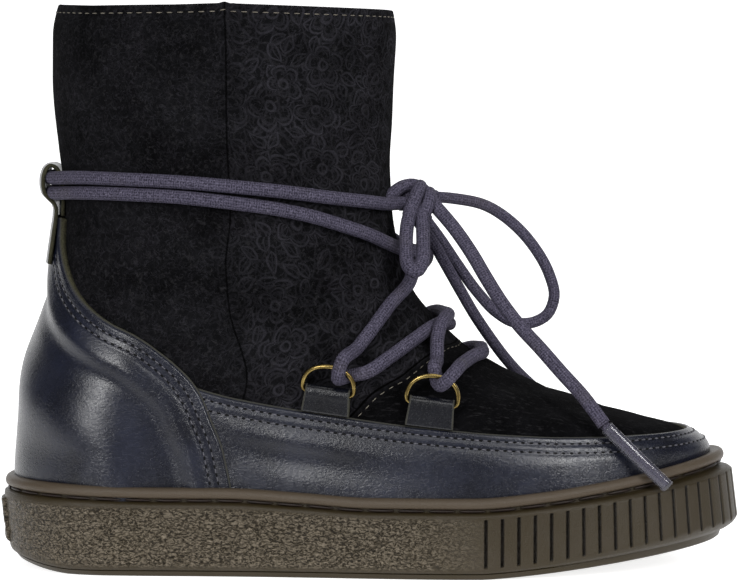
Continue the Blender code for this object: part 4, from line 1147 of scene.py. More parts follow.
@dataclass
class Cupsole:
    """Moulded rubber sole with its bead, stitch groove, ribbed toe, pebbled wall, heel tab and tread."""

    last: Last
    wardrobe: Wardrobe
    rib_pitch: float = 4.45
    ribs_per_side: int = 20
    rib_depth: float = 1.1
    rib_profile: tuple[Pair, ...] = (
        *((0.0, 0.0), (0.14, 0.0), (0.28, 0.0), (0.42, 0.0), (0.55, 0.0), (0.65, 0.0)),
        *((0.69, 0.15), (0.73, 0.85), (0.80, 1.0), (0.87, 0.85), (0.91, 0.15), (0.95, 0.0)),
    )
    tab_half: float = 7.0
    tab_rise: float = 1.0
    tab_columns: int = 10
    plain_columns: int = 380
    wall_rows: int = 22
    heel_run: Pair = (-100.0, 45.0)
    toe_run: Pair = (25.0, 72.0)
    heel_bevel: Point = (-82.0, -101.5, 3.2)
    toe_spring: tuple[float, float, float, float] = (30.0, 97.6, 7.6, 1.28)
    bead_nudge: Point = (0.5, -0.6, 0.3)
    tread_runs: tuple[tuple[float, float, int], ...] = ((-78.0, -45.0, 4), (-4.0, 68.0, 9))
    tread_bar: float = 3.2
    tread_depth: float = 2.0
    tread_margin: float = 8.0
    cup_depth: Pair = (13.0, 16.0)
    cup_reach: Pair = (2.2, 1.5)
    pebble_fade: Pair = (2.0, 34.0)
    pebble_size: Point = (1.9, 1.7, 1.2)
    pebble_depth: float = 0.27
    groove_grit: float = 1.6
    piping_low: float = -3.1
    groove_thread: Stitch = Stitch(8.3, 7.6, 0.5)
    rows: tuple[SoleRow, ...] = (
        *sole_rows(
            Line.GROUND,
            ((0.0, 0.0, 0.0), (-4.6, -1.6, -1.8)),
            ((0.35, 0.35, 0.4), (-3.5, -1.15, -1.2)),
            ((1.45, 1.4, 1.9), (-2.4, -1.0, -0.7)),
            ((1.6, 1.55, 2.2), (-2.7, -1.3, -0.5)),
            ((1.8, 1.7, 2.5), (-2.0, -0.9, 0.6)),
            ((1.95, 1.85, 2.8), (-1.45, -0.3, 1.6)),
            ((2.6, 2.4, 3.6), (-1.15, -0.02, 2.9), 0.0, 0.1),
            ((3.6, 3.1, 4.6), (-1.03, 0.07, 3.65), 0.0, 0.6),
            ((4.2, 3.6, 5.2), (-1.0, 0.1, 3.9), 1.0, 1.0),
        ),
        *sole_rows(
            Line.BEAD,
            ((-6.8, -6.1, -5.85), (0.2, 0.5, 2.3), 1.0, 1.0),
            ((-6.4, -5.75, -5.7), (0.27, 0.56, 2.1), 0.0, 0.6),
            ((-6.0, -5.45, -5.55), (0.33, 0.62, 1.9), 0.0, 0.1),
            ((-5.3, -5.1, -5.35), (0.33, 0.62, 1.65)),
            ((-4.7, -4.7, -5.15), (0.2, 0.5, 1.35)),
            ((-4.35, -4.35, -4.95), (-0.25, 0.0, 0.7)),
            ((-4.15, -4.15, -4.75), (-1.0, -0.9, -0.7)),
            ((-4.0, -4.0, -4.5), (-1.5, -1.5, -1.7)),
            ((-3.2, -3.2, -3.2), (-1.5, -1.5, -1.7)),
        ),
        *level_rows((-3.05, -0.75), (-2.8, -0.28), (-2.35, -0.06), (-1.75, 0.0)),
        *level_rows((-1.15, -0.14), (-0.6, -0.5), (-0.2, -1.1)),
    )
    thread_row: SoleRow = level_rows((-3.6, -1.1))[0]

    def ground(self, x: Array) -> Array:
        """Height of the tread: flat under the foot, bevelled at the heel and sprung at the toe."""
        first, last_x, rise = self.heel_bevel
        heel = np.clip((first - x) / (first - last_x), 0.0, 1.2)
        begin, end, spring, power = self.toe_spring
        toe = np.clip((x - begin) / (end - begin), 0.0, 1.2)
        return rise * heel**1.6 + spring * toe**power

    def blend(self, values: Point, x: Array) -> Array:
        """Value along the sole from its values at the heel, the side and the toe."""
        heel = 1.0 - ease((x - self.heel_run[0]) / self.heel_run[1])
        toe = ease((x - self.toe_run[0]) / self.toe_run[1])
        return heel * values[0] + (1.0 - heel - toe) * values[1] + toe * values[2]

    def bead_line(self, x: Array) -> Array:
        """Height of the bead's top as the eye sees it over the leather."""
        return bead_top(x) + self.blend(self.bead_nudge, x)

    def row_points(self, row: SoleRow, turns: Array, relief: Array | float = 0.0) -> Array:
        """Points of one row of the side.

        Args:
            row: the row.
            turns: turns round the sole.
            relief: height of ribs and tab at the turns.

        Returns:
            Points in millimetres.
        """
        points = self.last.ring(BEAD_PLAN, turns)
        x = points[:, 0].copy()
        along = self.last.ring(BEAD_PLAN, turns + 0.004) - self.last.ring(BEAD_PLAN, turns - 0.004)
        outward = unit(np.stack([along[:, 1], -along[:, 0]], axis=1))
        points[:, :2] += outward * (self.blend(row.out, x) + relief * row.relief)[:, None]
        base = self.ground(points[:, 0]) if row.line is Line.GROUND else self.bead_line(x)
        points[:, 2] = base + self.blend(row.height, x)
        return points

    def columns(self) -> tuple[Array, Array]:
        """Columns of one half of the sole.

        Returns:
            Turns from the back to the front, and the relief of the wall at each.
        """
        half = 0.5 * sum(arc_length(self.last.half(BEAD_PLAN, side))[-1] for side in Side)
        pitch = self.rib_pitch / half
        start = 1.0 - self.ribs_per_side * pitch
        tab = self.tab_half / half
        plain = np.linspace(tab, start, self.plain_columns, endpoint=False)
        turns = np.concatenate([np.linspace(0.0, tab - 0.002, self.tab_columns), plain])
        relief = np.where(turns < tab - 0.001, self.tab_rise, 0.0)
        share, cut = (np.array(column(self.rib_profile, k)) for k in range(2))
        for rib in range(self.ribs_per_side):
            turns = np.concatenate([turns, start + (rib + share) * pitch])
            relief = np.concatenate([relief, -self.rib_depth * cut])
        return np.append(turns, 1.0), np.append(relief, 0.0)

    def cup_rows(self, turns: Array) -> list[Array]:
        """Inner wall and floor line of the cup."""
        x = self.last.ring(self.last.section(1.0), turns)[:, 0]
        reach = self.cup_reach[0] + (self.cup_reach[1] - self.cup_reach[0]) * ease((x + 35.6) / 3.0)
        top = self.last.at(turns, 1.0, reach)
        top[:, 2] = self.bead_line(x) - 0.1
        low = self.last.at(turns, 0.0, reach)
        share = np.clip((low[:, 0] + 96.6) / 188.2, 0.0, 1.0)
        low[:, 2] = bead_top(low[:, 0]) - self.cup_depth[0] - (self.cup_depth[1] - self.cup_depth[0]) * share
        return [top, low]

    def pebbles(self, points: Array, share: Array) -> Array:
        """Points of the wall pushed in and out by its moulded pebble."""
        outward = unit(np.stack([points[:, 0] * 0.2, points[:, 1], np.zeros(len(points))], axis=1))
        bumps = np.array([noise.noise(Vector(point)) for point in points / np.array(self.pebble_size)])
        return points + outward * (self.pebble_depth * bumps * share)[:, None]

    def tread_height(self, points: Array) -> Array:
        """Lift of the walking face where a bar is moulded into it."""
        left, right = (self.last.half(BEAD_PLAN, side) for side in Side)
        low = np.interp(points[:, 0], left[:, 0], left[:, 1]) + self.tread_margin
        high = np.interp(points[:, 0], right[:, 0], right[:, 1]) - self.tread_margin
        within = ease((points[:, 1] - low) / 0.6) * ease((high - points[:, 1]) / 0.6)
        cut = np.zeros(len(points))
        for first, end, count in self.tread_runs:
            for x in np.linspace(first, end, count):
                away = np.abs(points[:, 0] - x) - 0.5 * self.tread_bar
                cut = np.maximum(cut, 1.0 - ease((away + 0.3) / 0.6))
        return self.tread_depth * cut * within

    def build(self) -> None:
        """Makes the sole and the stitches in its groove."""
        half, half_relief = self.columns()
        turns = np.concatenate([half, 2.0 - half[-2::-1]])
        relief = np.concatenate([half_relief, half_relief[-2::-1]])
        x = self.last.ring(BEAD_PLAN, turns)[:, 0]
        coarse = 1.0 - ease((x - self.pebble_fade[0]) / self.pebble_fade[1])
        grooves = np.clip(-relief / self.rib_depth, 0.0, 1.0)
        rows, pebble, groove, piping = [], [], [], []
        for low, high in zip(self.rows, self.rows[1:] + self.rows[-1:]):
            steps = self.wall_rows if low.relief > 0.0 and high.relief > 0.0 else 1
            below = self.row_points(low, turns, relief)
            above = self.row_points(high, turns, relief)
            for share in np.arange(steps) / steps:
                rows.append(below + (above - below) * share)
                pebble.append((low.pebble + (high.pebble - low.pebble) * share) * coarse)
                groove.append((low.relief + (high.relief - low.relief) * share) * grooves)
                piped = low.line is Line.BEAD and low.height[1] > self.piping_low
                piping.append(np.full(len(turns), float(piped)))
        for points in self.cup_rows(turns):
            rows.append(points)
            for values in (pebble, groove, piping):
                values.append(0.0 * coarse)
        stack = np.array(rows)
        rough = np.ravel(pebble) + self.groove_grit * np.ravel(groove)
        stack = self.pebbles(stack.reshape(-1, 3), rough).reshape(stack.shape)
        stack[:, -1] = stack[:, 0]
        last_row, last_column = len(stack) - 1, len(turns) - 1

        def pick(table: Array) -> Placer:
            """Reader of a table with one entry for each point of the grid."""
            return lambda u, v: table[np.rint(v * last_row).astype(int), np.rint(u * last_column).astype(int)]

        tables = {"pebble": pebble, "groove": groove, "piping": piping}
        values = {key: pick(np.array(table)) for key, table in tables.items()}
        mesh = sheet_mesh("sole", last_column, last_row, pick(stack), None, values)
        self.close(mesh, stack[0], stack[-1], len(half))
        put(mesh, [self.wardrobe.rubber], ["cupsole"])
        around = np.linspace(0.0, 2.0, 900)
        seat = self.row_points(self.thread_row, around)
        outer = self.row_points(self.thread_row._replace(out=(1.0, 1.0, 1.0)), around)
        stitches = stitch_mesh("sole_stitches", [(seat, unit(outer - seat))], self.groove_thread)
        put(stitches, [self.wardrobe.brown_thread])

    def close(self, mesh: Mesh, tread: Array, floor: Array, half: int) -> None:
        """Adds the walking face with its bars and the floor of the cup.

        Args:
            mesh: the sole's side, which is completed.
            tread: the lowest row all round.
            floor: the cup's lowest row all round.
            half: columns from the back to the front.
        """
        margins = np.array([0.0, self.tread_margin - 0.8, self.tread_margin + 0.8, 1.6 * self.tread_margin])
        bm = bmesh.new()
        bm.from_mesh(mesh)
        for row in (tread, floor):
            left = row[:half]
            right = row[::-1][:half]
            width = np.maximum(np.linalg.norm(right - left, axis=1), 1e-6)
            near = np.minimum(margins[:, None] / width, np.linspace(0.0, 0.45, len(margins))[:, None])
            shares = np.concatenate([near, 1.0 - near[::-1]])
            lattice = left[None] + (right - left)[None] * shares[:, :, None]
            if row is tread:
                flat = lattice.reshape(-1, 3)
                flat[:, 2] += self.tread_height(flat)
                lattice = flat.reshape(lattice.shape)

            def place(u: Array, v: Array, lattice: Array = lattice) -> Array:
                """Points of the face from side to side."""
                along = np.rint(v * (len(lattice) - 1)).astype(int)
                return lattice[along, np.rint(u * (half - 1)).astype(int)]

            face = sheet_mesh("face", half - 1, len(lattice) - 1, place)
            bm.from_mesh(face)
            bpy.data.meshes.remove(face)
        bmesh.ops.remove_doubles(bm, verts=bm.verts, dist=4e-6)
        bmesh.ops.recalc_face_normals(bm, faces=bm.faces)
        bm.to_mesh(mesh)
        bm.free()
        mesh.shade_smooth()
        mesh.set_sharp_from_angle(angle=math.radians(50.0))


class Crease(NamedTuple):
    """Soft trough of the suede from one place to another."""

    turn_a: float
    level_a: float
    turn_b: float
    level_b: float
    depth: float
    width: float


@dataclass
class Upper:
    """Hollow suede shaft and vamp with its lining, seams and creases."""

    last: Last
    wardrobe: Wardrobe
    columns: int = 380
    rows: int = 240
    outside: float = 0.74
    profile: Route = (
        *((0.0, 0.4, 0.0), (0.70, 16.80, 0.0), (0.725, 16.95, -0.12), (0.74, 17.0, -0.55)),
        *((0.755, 17.0, -1.2), (0.77, 17.0, -1.85), (0.785, 16.95, -2.28), (0.81, 16.75, -2.4)),
        *((0.99, 0.4, -2.4), (1.0, 0.4, 0.0)),
    )
    rim_wave: tuple[Pair, ...] = (
        *((0.0, -0.2), (0.2, -0.5), (0.40, 0.0), (0.495, 0.5), (0.508, 1.0)),
        *((0.521, 0.5), (0.62, 0.2), (0.80, -0.3), (1.0, -0.7)),
    )
    creases: tuple[Crease, ...] = (
        Crease(0.60, 10.9, 0.99, 10.3, 0.45, 4.0),
        Crease(0.66, 9.3, 0.98, 8.7, 0.40, 3.4),
        Crease(0.30, 9.4, 0.52, 10.4, 0.45, 4.5),
        Crease(0.22, 10.3, 0.45, 11.2, 0.35, 4.0),
        Crease(0.72, 6.3, 0.99, 6.9, 0.40, 3.6),
        Crease(0.78, 5.3, 0.99, 5.7, 0.30, 3.0),
        Crease(0.60, 13.4, 0.96, 13.0, 0.30, 6.0),
        Crease(0.05, 13.2, 0.35, 13.6, 0.30, 6.0),
    )
    collar_level: float = 16.72
    collar_stitch: Stitch = Stitch(2.9, 1.7, 0.15)
    vamp_stitch: Stitch = Stitch(2.7, 1.6, 0.12)
    vamp_margin: float = 1.3
    lap: float = 0.28

    def seam_line(self, table: Sequence[Pair]) -> tuple[Array, Array]:
        """Turns and levels along a seam."""
        share = np.linspace(0.0, 1.0, 400)
        knots = np.linspace(0.0, 1.0, len(table))
        return smooth(knots, column(table, 0), share), smooth(knots, column(table, 1), share)

    def seam_distance(self, turns: Array, levels: Array, table: Sequence[Pair]) -> Array:
        """Signed distance from a seam in millimetres, positive towards the toe."""
        folded = fold_turn(turns)
        line_turns, line_levels = self.seam_line(table)
        distance = distance_to(self.last.at(folded, levels), self.last.at(line_turns, line_levels))
        order = np.argsort(line_levels)
        ahead = folded >= np.interp(levels, line_levels[order], line_turns[order])
        return np.where(ahead, distance, -distance)

    def relief(self, turns: Array, levels: Array) -> Array:
        """Height of the creases and the lapped vamp over the plain form."""
        folded = fold_turn(turns)
        points = self.last.at(folded, levels)
        lift = self.lap * ease(0.5 + self.seam_distance(turns, levels, VAMP_SEAM) / 1.6)
        share = np.linspace(0.0, 1.0, 40)
        for crease in self.creases:
            line = self.last.at(
                crease.turn_a + (crease.turn_b - crease.turn_a) * share,
                crease.level_a + (crease.level_b - crease.level_a) * share + 0.25 * np.sin(math.pi * share),
            )
            distance = distance_to(points, line)
            lift -= crease.depth * hump(distance, crease.width)
            lift += 0.4 * crease.depth * hump(distance - 2.2 * crease.width, crease.width)
        return lift

    def wave(self, turns: Array, levels: Array) -> Array:
        """Rise and fall of the collar."""
        height = np.interp(fold_turn(turns), column(self.rim_wave, 0), column(self.rim_wave, 1))
        return height * ease((levels - 15.0) / 2.0)

    def path(self, u: Array, v: Array) -> tuple[Array, Array, Array]:
        """Turn, level and lift for shares round from the front and along the wall."""
        stations = column(self.profile, 0)
        levels, lift = (np.interp(v, stations, column(self.profile, k)) for k in (1, 2))
        return 1.0 + 2.0 * u, levels, lift

    def place(self, u: Array, v: Array) -> Array:
        """Points of the wall from the foot line up, over the rim and down the lining."""
        turns, levels, lift = self.path(u, v)
        face = (v > 0.0) & (v < self.outside)
        lift[face] += self.relief(turns[face], levels[face])
        points = self.last.at(turns, levels, lift)
        points[:, 2] += self.wave(turns, levels)
        return points

    def build(self) -> None:
        """Makes the upper, its lining and its pale stitches."""
        seams = {"side_seam": SIDE_SEAM, "vamp_seam": VAMP_SEAM}
        values = {
            name: lambda u, v, table=table: self.seam_distance(*self.path(u, v)[:2], table)
            for name, table in seams.items()
        }
        values["inside"] = lambda u, v: (v > self.outside + 0.02).astype(float)
        mesh = sheet_mesh(
            "suede_upper",
            self.columns,
            self.rows,
            self.place,
            lambda u, v: self.last.hide_place(*self.path(u, v)[:2]),
            values,
        )
        inside = np.empty(len(mesh.vertices))
        mesh.attributes["inside"].data.foreach_get("value", inside)
        corner = np.empty(len(mesh.loops), int)
        mesh.loops.foreach_get("vertex_index", corner)
        lined = (inside[corner].reshape(-1, 4).mean(axis=1) > 0.6).astype(int)
        mesh.polygons.foreach_set("material_index", lined)
        put(mesh, [self.wardrobe.suede, self.wardrobe.lining], ["upper"])
        self.sew()

    def sew(self) -> None:
        """Adds the running stitch of the collar and the row along the vamp's edge."""
        turns = np.linspace(0.0, 2.0, 700)
        levels = np.full(len(turns), self.collar_level)
        points = self.last.at(turns, levels, THREAD_LIFT)
        points[:, 2] += self.wave(turns, levels)
        row = (points, self.last.normal(turns, levels))
        collar = stitch_mesh("collar_stitches", [row], self.collar_stitch)
        put(collar, [self.wardrobe.ecru])
        lines = []
        turns, levels = self.last.shift(*self.seam_line(VAMP_SEAM), self.vamp_margin)
        lift = self.relief(turns, levels) + THREAD_LIFT
        for around in (turns, 2.0 - turns):
            lines.append((self.last.at(around, levels, lift), self.last.normal(around, levels)))
        put(stitch_mesh("vamp_stitches", lines, self.vamp_stitch), [self.wardrobe.ecru])


def counter_turn(level: Array | float) -> Array:
    """Turn of the counter's edge at a level."""
    return smooth(column(COUNTER_EDGE, 0), column(COUNTER_EDGE, 1), level)


def foxing_level(turns: Array) -> Array:
    """Level of the foxing's top edge at turns on either side."""
    return smooth(column(FOXING_EDGE, 0), column(FOXING_EDGE, 1), fold_turn(turns))


class Swell(NamedTuple):
    """Soft rise or hollow of leather at a distance from its edge, and its shares at turns along it."""

    distance: float
    height: float
    width: float
    run: tuple[Pair, ...] = ((0.0, 1.0), (1.0, 1.0))


def swollen(turns: Array, distance: Array, swells: Sequence[Swell]) -> Array:
    """Sum of swells at turns and distances from the edge."""
    total = np.zeros(len(distance))
    for swell in swells:
        share = smooth(column(swell.run, 0), column(swell.run, 1), fold_turn(turns))
        total += share * swell.height * hump(distance - swell.distance, swell.width)
    return total


def sew_rows(name: str, lines: Sequence[tuple[Array, Array]], stitch: Stitch, wardrobe: Wardrobe) -> None:
    """Adds stitches and, at the end of each, a black ellipsoid as the painted shade in the needle holes.

    Args:
        name: the leather's name.
        lines: points and normals of each row.
        stitch: the rows' sizes.
        wardrobe: the finishes.
    """
    put(stitch_mesh(f"{name}_stitches", lines, stitch), [wardrobe.grey_thread])
    # Black ellipsoids at the stitches' ends: painted shade where the needle holes are
    long, wide, deep = HOLE_LONG * stitch.pitch, HOLE_WIDE * stitch.half, HOLE_DEEP * stitch.half
    hole_shade = Stitch(stitch.pitch, long, wide, 0.0, deep)
    put(stitch_mesh(f"{name}_needle_hole_shades", lines, hole_shade), [wardrobe.hole_shade])


@dataclass
class LeatherPanel:
    """Sheet of leather over the upper, thinned along its edge."""

    last: Last
    wardrobe: Wardrobe
    gauge: float = 1.3
    bevel: float = 0.8
    edge_share: float = 0.35
    columns: int = 440
    rows: int = 56
    stitch: Stitch = Stitch(2.3, 1.4, 0.23)

    def path(self, u: Array, v: Array) -> tuple[Array, Array]:
        """Turn and level for two shares from 0 to 1."""
        raise NotImplementedError

    def edge_gap(self, turns: Array, levels: Array) -> Array:
        """Distance of places on the upper from the panel's edge in millimetres."""
        raise NotImplementedError

    def thickness(self, distance: Array) -> Array:
        """Thickness at distances from the edge."""
        return self.gauge * (self.edge_share + (1.0 - self.edge_share) * ease(distance / self.bevel))

    def lay(self, name: str, node: str, lift: Callable[..., Array]) -> None:
        """Makes the sheet.

        Args:
            name: the piece's name.
            node: the CAD node that it stands for.
            lift: height of its face over the upper for a share round it, turns and levels.
        """
        mesh = sheet_mesh(
            name,
            self.columns,
            self.rows,
            lambda u, v: self.last.at(*self.path(u, v), lift(u, *self.path(u, v))),
            None,
            {"edge_mm": lambda u, v: self.edge_gap(*self.path(u, v))},
        )
        thing = put(mesh, [self.wardrobe.leather, self.wardrobe.raw_edge], [node])
        wall(thing, self.gauge, -1.0)


@dataclass
class Foxing(LeatherPanel):
    """Leather band round the vamp with two rows of stitches under its top edge."""

    rows_mm: Pair = (2.2, 4.6)
    gap: float = 0.3
    tuck: float = 0.007
    tuck_drop: float = 0.25
    calm_share: float = 0.03
    floor_rise: float = 0.06
    sewn: Pair = (0.012, 0.988)
    swells: tuple[Swell, ...] = (
        Swell(2.2, -0.22, 0.7),
        Swell(4.6, -0.22, 0.7),
        Swell(
            *(8.4, 0.6, 2.6),
            ((0.3, 0.3), (0.37, 0.7), (0.42, 1.1), (0.47, 0.8), (0.53, 0.35), (0.62, 0.2), (1.0, 0.3)),
        ),
        Swell(
            *(13.5, -0.3, 3.2),
            ((0.3, 0.4), (0.42, 1.0), (0.52, 0.5), (0.64, 0.2), (0.72, 0.6), (0.84, 0.2), (1.0, 0.0)),
        ),
        Swell(
            *(19.5, 0.5, 3.4),
            ((0.3, 0.2), (0.38, 0.4), (0.43, 1.0), (0.49, 0.4), (0.58, 0.0), (0.7, 0.0), (1.0, 0.0)),
        ),
        Swell(
            *(13.0, 0.7, 4.5),
            ((0.3, 0.0), (0.6, 0.0), (0.69, 0.5), (0.77, 1.1), (0.84, 0.5), (0.92, 0.2), (1.0, 0.0)),
        ),
    )

    def path(self, u: Array, v: Array) -> tuple[Array, Array]:
        """Turn and level for shares round and up the band, closer together near its top edge."""
        rise = self.floor_rise + (1.0 - self.floor_rise) * (1.0 - (1.0 - v) ** 1.6)
        first = counter_turn(FOXING_CORNER * rise) - self.tuck
        start = counter_turn(FOXING_CORNER) - self.tuck
        return first + (2.0 - 2.0 * first) * u, rise * foxing_level(start + (2.0 - 2.0 * start) * u)

    def edge_gap(self, turns: Array, levels: Array) -> Array:
        """Distance of places on the upper from the top edge in millimetres."""
        share = np.linspace(0.0, 1.0, 2400)
        return distance_to(self.last.at(turns, levels), self.last.at(*self.path(share, np.ones(len(share)))))

    def lift(self, u: Array, turns: Array, levels: Array) -> Array:
        """Height of the band's face over the upper: calm where it passes under the heel cover."""
        distance = self.edge_gap(turns, levels)
        calm = ease(np.minimum(u, 1.0 - u) / self.calm_share)
        face = self.gap + self.thickness(distance) - self.tuck_drop * (1.0 - calm)
        return face + swollen(turns, distance, self.swells) * calm

    def build(self) -> None:
        """Makes the band and its stitches."""
        self.lay("foxing_band", "foxing", self.lift)
        lines = []
        share = np.linspace(*self.sewn, 900)
        turns, levels = self.path(share, np.ones(len(share)))
        for row in self.rows_mm:
            along, height = self.last.shift(turns, levels, row)
            lift = self.lift(share, along, height) + THREAD_LIFT
            lines.append((self.last.at(along, height, lift), self.last.normal(along, height)))
        sew_rows("foxing", lines, self.stitch, self.wardrobe)


@dataclass
class Counter(LeatherPanel):
    """Leather heel cover that laps over the band, with two rows of stitches inside its edge."""

    rows_mm: Pair = (3.2, 5.5)
    gauge: float = 1.7
    under: float = 0.6
    bevel: float = 1.0
    edge_share: float = 0.55
    columns: int = 360
    rows: int = 110
    low_level: float = 0.2
    high_level: float = 10.0
    sewn: Pair = (1.05, 8.4)
    swells: tuple[Swell, ...] = (
        *(Swell(3.2, -0.22, 0.7), Swell(5.5, -0.22, 0.7), Swell(9.6, 0.85, 3.0)),
        *(Swell(14.5, -0.6, 3.2), Swell(31.0, 1.4, 8.0)),
    )

    def path(self, u: Array, v: Array) -> tuple[Array, Array]:
        """Turn and level on rays from the middle of the heel, for shares round the edge and along the ray."""
        turns, levels = self.edge_line()
        turns = np.concatenate([-turns, turns[::-1]])
        levels = np.concatenate([levels, levels[::-1]])
        along = arc_length(self.last.at(turns, levels))
        share = 1.0 - (1.0 - v) ** 1.5
        edge_turn, edge_level = (np.interp(u * along[-1], along, table) for table in (turns, levels))
        return share * edge_turn, self.low_level + share * (edge_level - self.low_level)

    def edge_line(self) -> tuple[Array, Array]:
        """Turns and levels of the edge on the outer side, from the bead up."""
        levels = np.linspace(self.low_level, self.high_level, 1500)
        return counter_turn(levels), levels

    def edge_gap(self, turns: Array, levels: Array) -> Array:
        """Distance of places on the upper from the nearer edge in millimetres."""
        return distance_to(self.last.at(np.abs(turns), levels), self.last.at(*self.edge_line()))

    def lift(self, turns: Array, levels: Array) -> Array:
        """Height of the cover's face over the upper, with the stiffener's soft hollow."""
        distance = self.edge_gap(turns, levels)
        return self.under + self.thickness(distance) + swollen(np.abs(turns), distance, self.swells)

    def build(self) -> None:
        """Makes the cover and its stitches."""
        self.lay("heel_cover", "heel_counter", lambda u, turns, levels: self.lift(turns, levels))
        lines = []
        for row in self.rows_mm:
            along, height = self.last.shift(*self.edge_line(), -row)
            kept = (height > self.sewn[0]) & (height < self.sewn[1])
            lift = self.lift(along[kept], height[kept]) + THREAD_LIFT
            for turns in (along[kept], -along[kept]):
                lines.append((self.last.at(turns, height[kept], lift), self.last.normal(turns, height[kept])))
        sew_rows("counter", lines, self.stitch, self.wardrobe)


def strap_edge(width: float) -> dict[str, Placer]:
    """Distance from the nearer cut edge of a strap of the given width."""
    return {"edge_mm": lambda u, v: np.minimum(u, 1.0 - u) * width}


@dataclass
class PullLoop:
    """Folded leather strip on the back of the boot, open as an eye for the lace."""

    last: Last
    wardrobe: Wardrobe
    gauge: float = 1.0
    width: float = 14.0
    steps: int = 90
    route: tuple[Pair, ...] = (
        *((10.08, 0.9), (11.0, 0.9), (11.8, 0.9), (12.2, 1.1), (12.5, 1.9), (12.62, 3.4)),
        *((12.5, 4.9), (12.2, 5.9), (11.7, 6.3), (11.25, 6.0), (10.95, 4.8), (10.7, 3.3)),
        *((10.4, 2.7), (10.0, 2.8), (9.4, 3.1), (8.6, 3.3), (7.9, 3.3)),
    )

    def build(self) -> None:
        """Makes the strip."""
        table = np.array(self.route)
        dense = np.linspace(0.0, len(table) - 1.0, self.steps + 1)
        line = np.stack([np.interp(dense, np.arange(len(table)), table[:, k]) for k in range(2)], axis=1)
        for _ in range(3):
            line[1:-1] = 0.25 * line[:-2] + 0.5 * line[1:-1] + 0.25 * line[2:]
        levels, lifts = line.T
        lengths = self.last.half_length
        half = np.interp(levels, np.linspace(0.0, RIM_LEVEL, len(lengths)), lengths)

        def place(u: Array, v: Array) -> Array:
            """Points across and along the strip."""
            k = np.rint(v * self.steps).astype(int)
            return self.last.at((u - 0.5) * self.width / half[k], levels[k], lifts[k])

        mesh = sheet_mesh("pull_strip", 20, self.steps, place, None, strap_edge(self.width))
        thing = put(mesh, self.wardrobe.strapping, ["heel_pull_loop"])
        wall(thing, self.gauge, 0.0)


class RingTab(NamedTuple):
    """Place of a ring tab on the upper."""

    turn: float
    level: float
    fold_height: float
    lean_deg: float


@dataclass
class RingSet:
    """Folded leather tabs and the brass D-rings that they hold, two a side."""

    last: Last
    wardrobe: Wardrobe
    tabs: tuple[RingTab, ...] = (RingTab(0.464, 3.70, 5.2, -1.5), RingTab(0.597, 3.54, 5.9, -2.0))
    gap: float = 0.3
    gauge: float = 0.8
    width: float = 12.2
    flare: float = 0.9
    wire: float = 0.6
    tilt_deg: float = 26.0
    outline: tuple[Pair, ...] = (
        *((6.3, 0.0), (6.8, 0.4), (7.0, 1.3), (6.8, 3.3), (6.0, 5.2), (4.5, 6.7), (2.4, 7.6), (0.0, 7.9)),
    )

    def frame(self, number: int) -> tuple[Array, Array, Array, Array]:
        """Place of one tab.

        Args:
            number: 0 and 1 on the outer side, 2 and 3 on the inner side.

        Returns:
            Its origin and the directions across, up and out.
        """
        tab = self.tabs[number % 2]
        mirrored = number >= 2
        turn = 2.0 - tab.turn if mirrored else tab.turn
        origin = self.last.at([turn], [tab.level])[0]
        out = self.last.normal([turn], [tab.level])[0]
        ahead, behind = (self.last.at([turn + step], [tab.level])[0] for step in (0.02, -0.02))
        across = unit(ahead - behind)
        up = np.cross(out, across)
        lean = math.radians(-tab.lean_deg if mirrored else tab.lean_deg)
        turned = across * math.cos(lean) + up * math.sin(lean)
        return origin, turned, np.cross(out, turned), out

    def ring_point(self, number: int, across: float, reach: float, rise: float) -> Array:
        """Point in a ring's own plane: across its bar, out along its bow and up from its plane."""
        origin, side, up, out = self.frame(number)
        tilt = math.radians(self.tilt_deg)
        along = up * math.cos(tilt) + out * math.sin(tilt)
        normal = out * math.cos(tilt) - up * math.sin(tilt)
        stand_off = 2.0 * self.gap + self.gauge + self.wire
        bar = origin + up * self.tabs[number % 2].fold_height + out * stand_off
        return bar + side * across + along * reach + normal * rise

    def build_tab(self, number: int) -> None:
        """Makes one hairpin of leather round its ring's bar."""
        origin, side, up, out = self.frame(number)
        fold = self.tabs[number % 2].fold_height
        bar = 2.0 * self.gap + self.gauge + self.wire
        radius = self.wire + self.gap + 0.5 * self.gauge
        route = [(-0.6, 0.75, 0.0), (0.5 * fold, self.gap + 0.5 * self.gauge, 0.0)]
        for angle in np.radians(np.linspace(-90.0, 90.0, 13)):
            route.append((fold + radius * math.cos(angle), bar + radius * math.sin(angle), 0.0))
        route += [(0.55 * fold, bar + 0.5 * radius, 0.0), (-0.6, 2.0 * self.gap + 1.35 * self.gauge, 0.0)]
        dense = resample(route, 0.5)
        steps = len(dense) - 1

        def place(u: Array, v: Array) -> Array:
            """Points across and along the hairpin, a little wider at its foot."""
            rise, lift, _ = dense[np.rint(v * steps).astype(int)].T
            reach = (u - 0.5) * (self.width + self.flare * np.clip(1.0 - rise / fold, 0.0, 1.0))
            return origin + side * reach[:, None] + up * rise[:, None] + out * lift[:, None]

        mesh = sheet_mesh(f"tab_{number + 1}", 24, steps, place, None, strap_edge(self.width))
        thing = put(mesh, self.wardrobe.strapping, [f"ring_tab_{number + 1}"])
        wall(thing, self.gauge, 0.0)

    def build_ring(self, number: int) -> None:
        """Makes one bent wire ring."""
        half = list(self.outline)
        route = half + [(-a, b) for a, b in reversed(half[:-1])]
        closed = np.array([self.ring_point(number, a, b, 0.0) for a, b in route])
        dense = resample(np.concatenate([closed[-3:], closed, closed[:3]]), 0.5)
        middle = len(dense) // 2
        away = np.linalg.norm(dense - closed[0], axis=1)
        start = int(np.argmin(away[:middle]))
        stop = middle + int(np.argmin(away[middle:]))
        mesh = tube_mesh(f"ring_{number + 1}", dense[start:stop], self.wire, 12, cyclic=True)
        put(mesh, [self.wardrobe.brass], [f"d_ring_{number + 1}"])

    def build(self) -> None:
        """Makes the four tabs and rings."""
        for number in range(4):
            self.build_tab(number)
            self.build_ring(number)


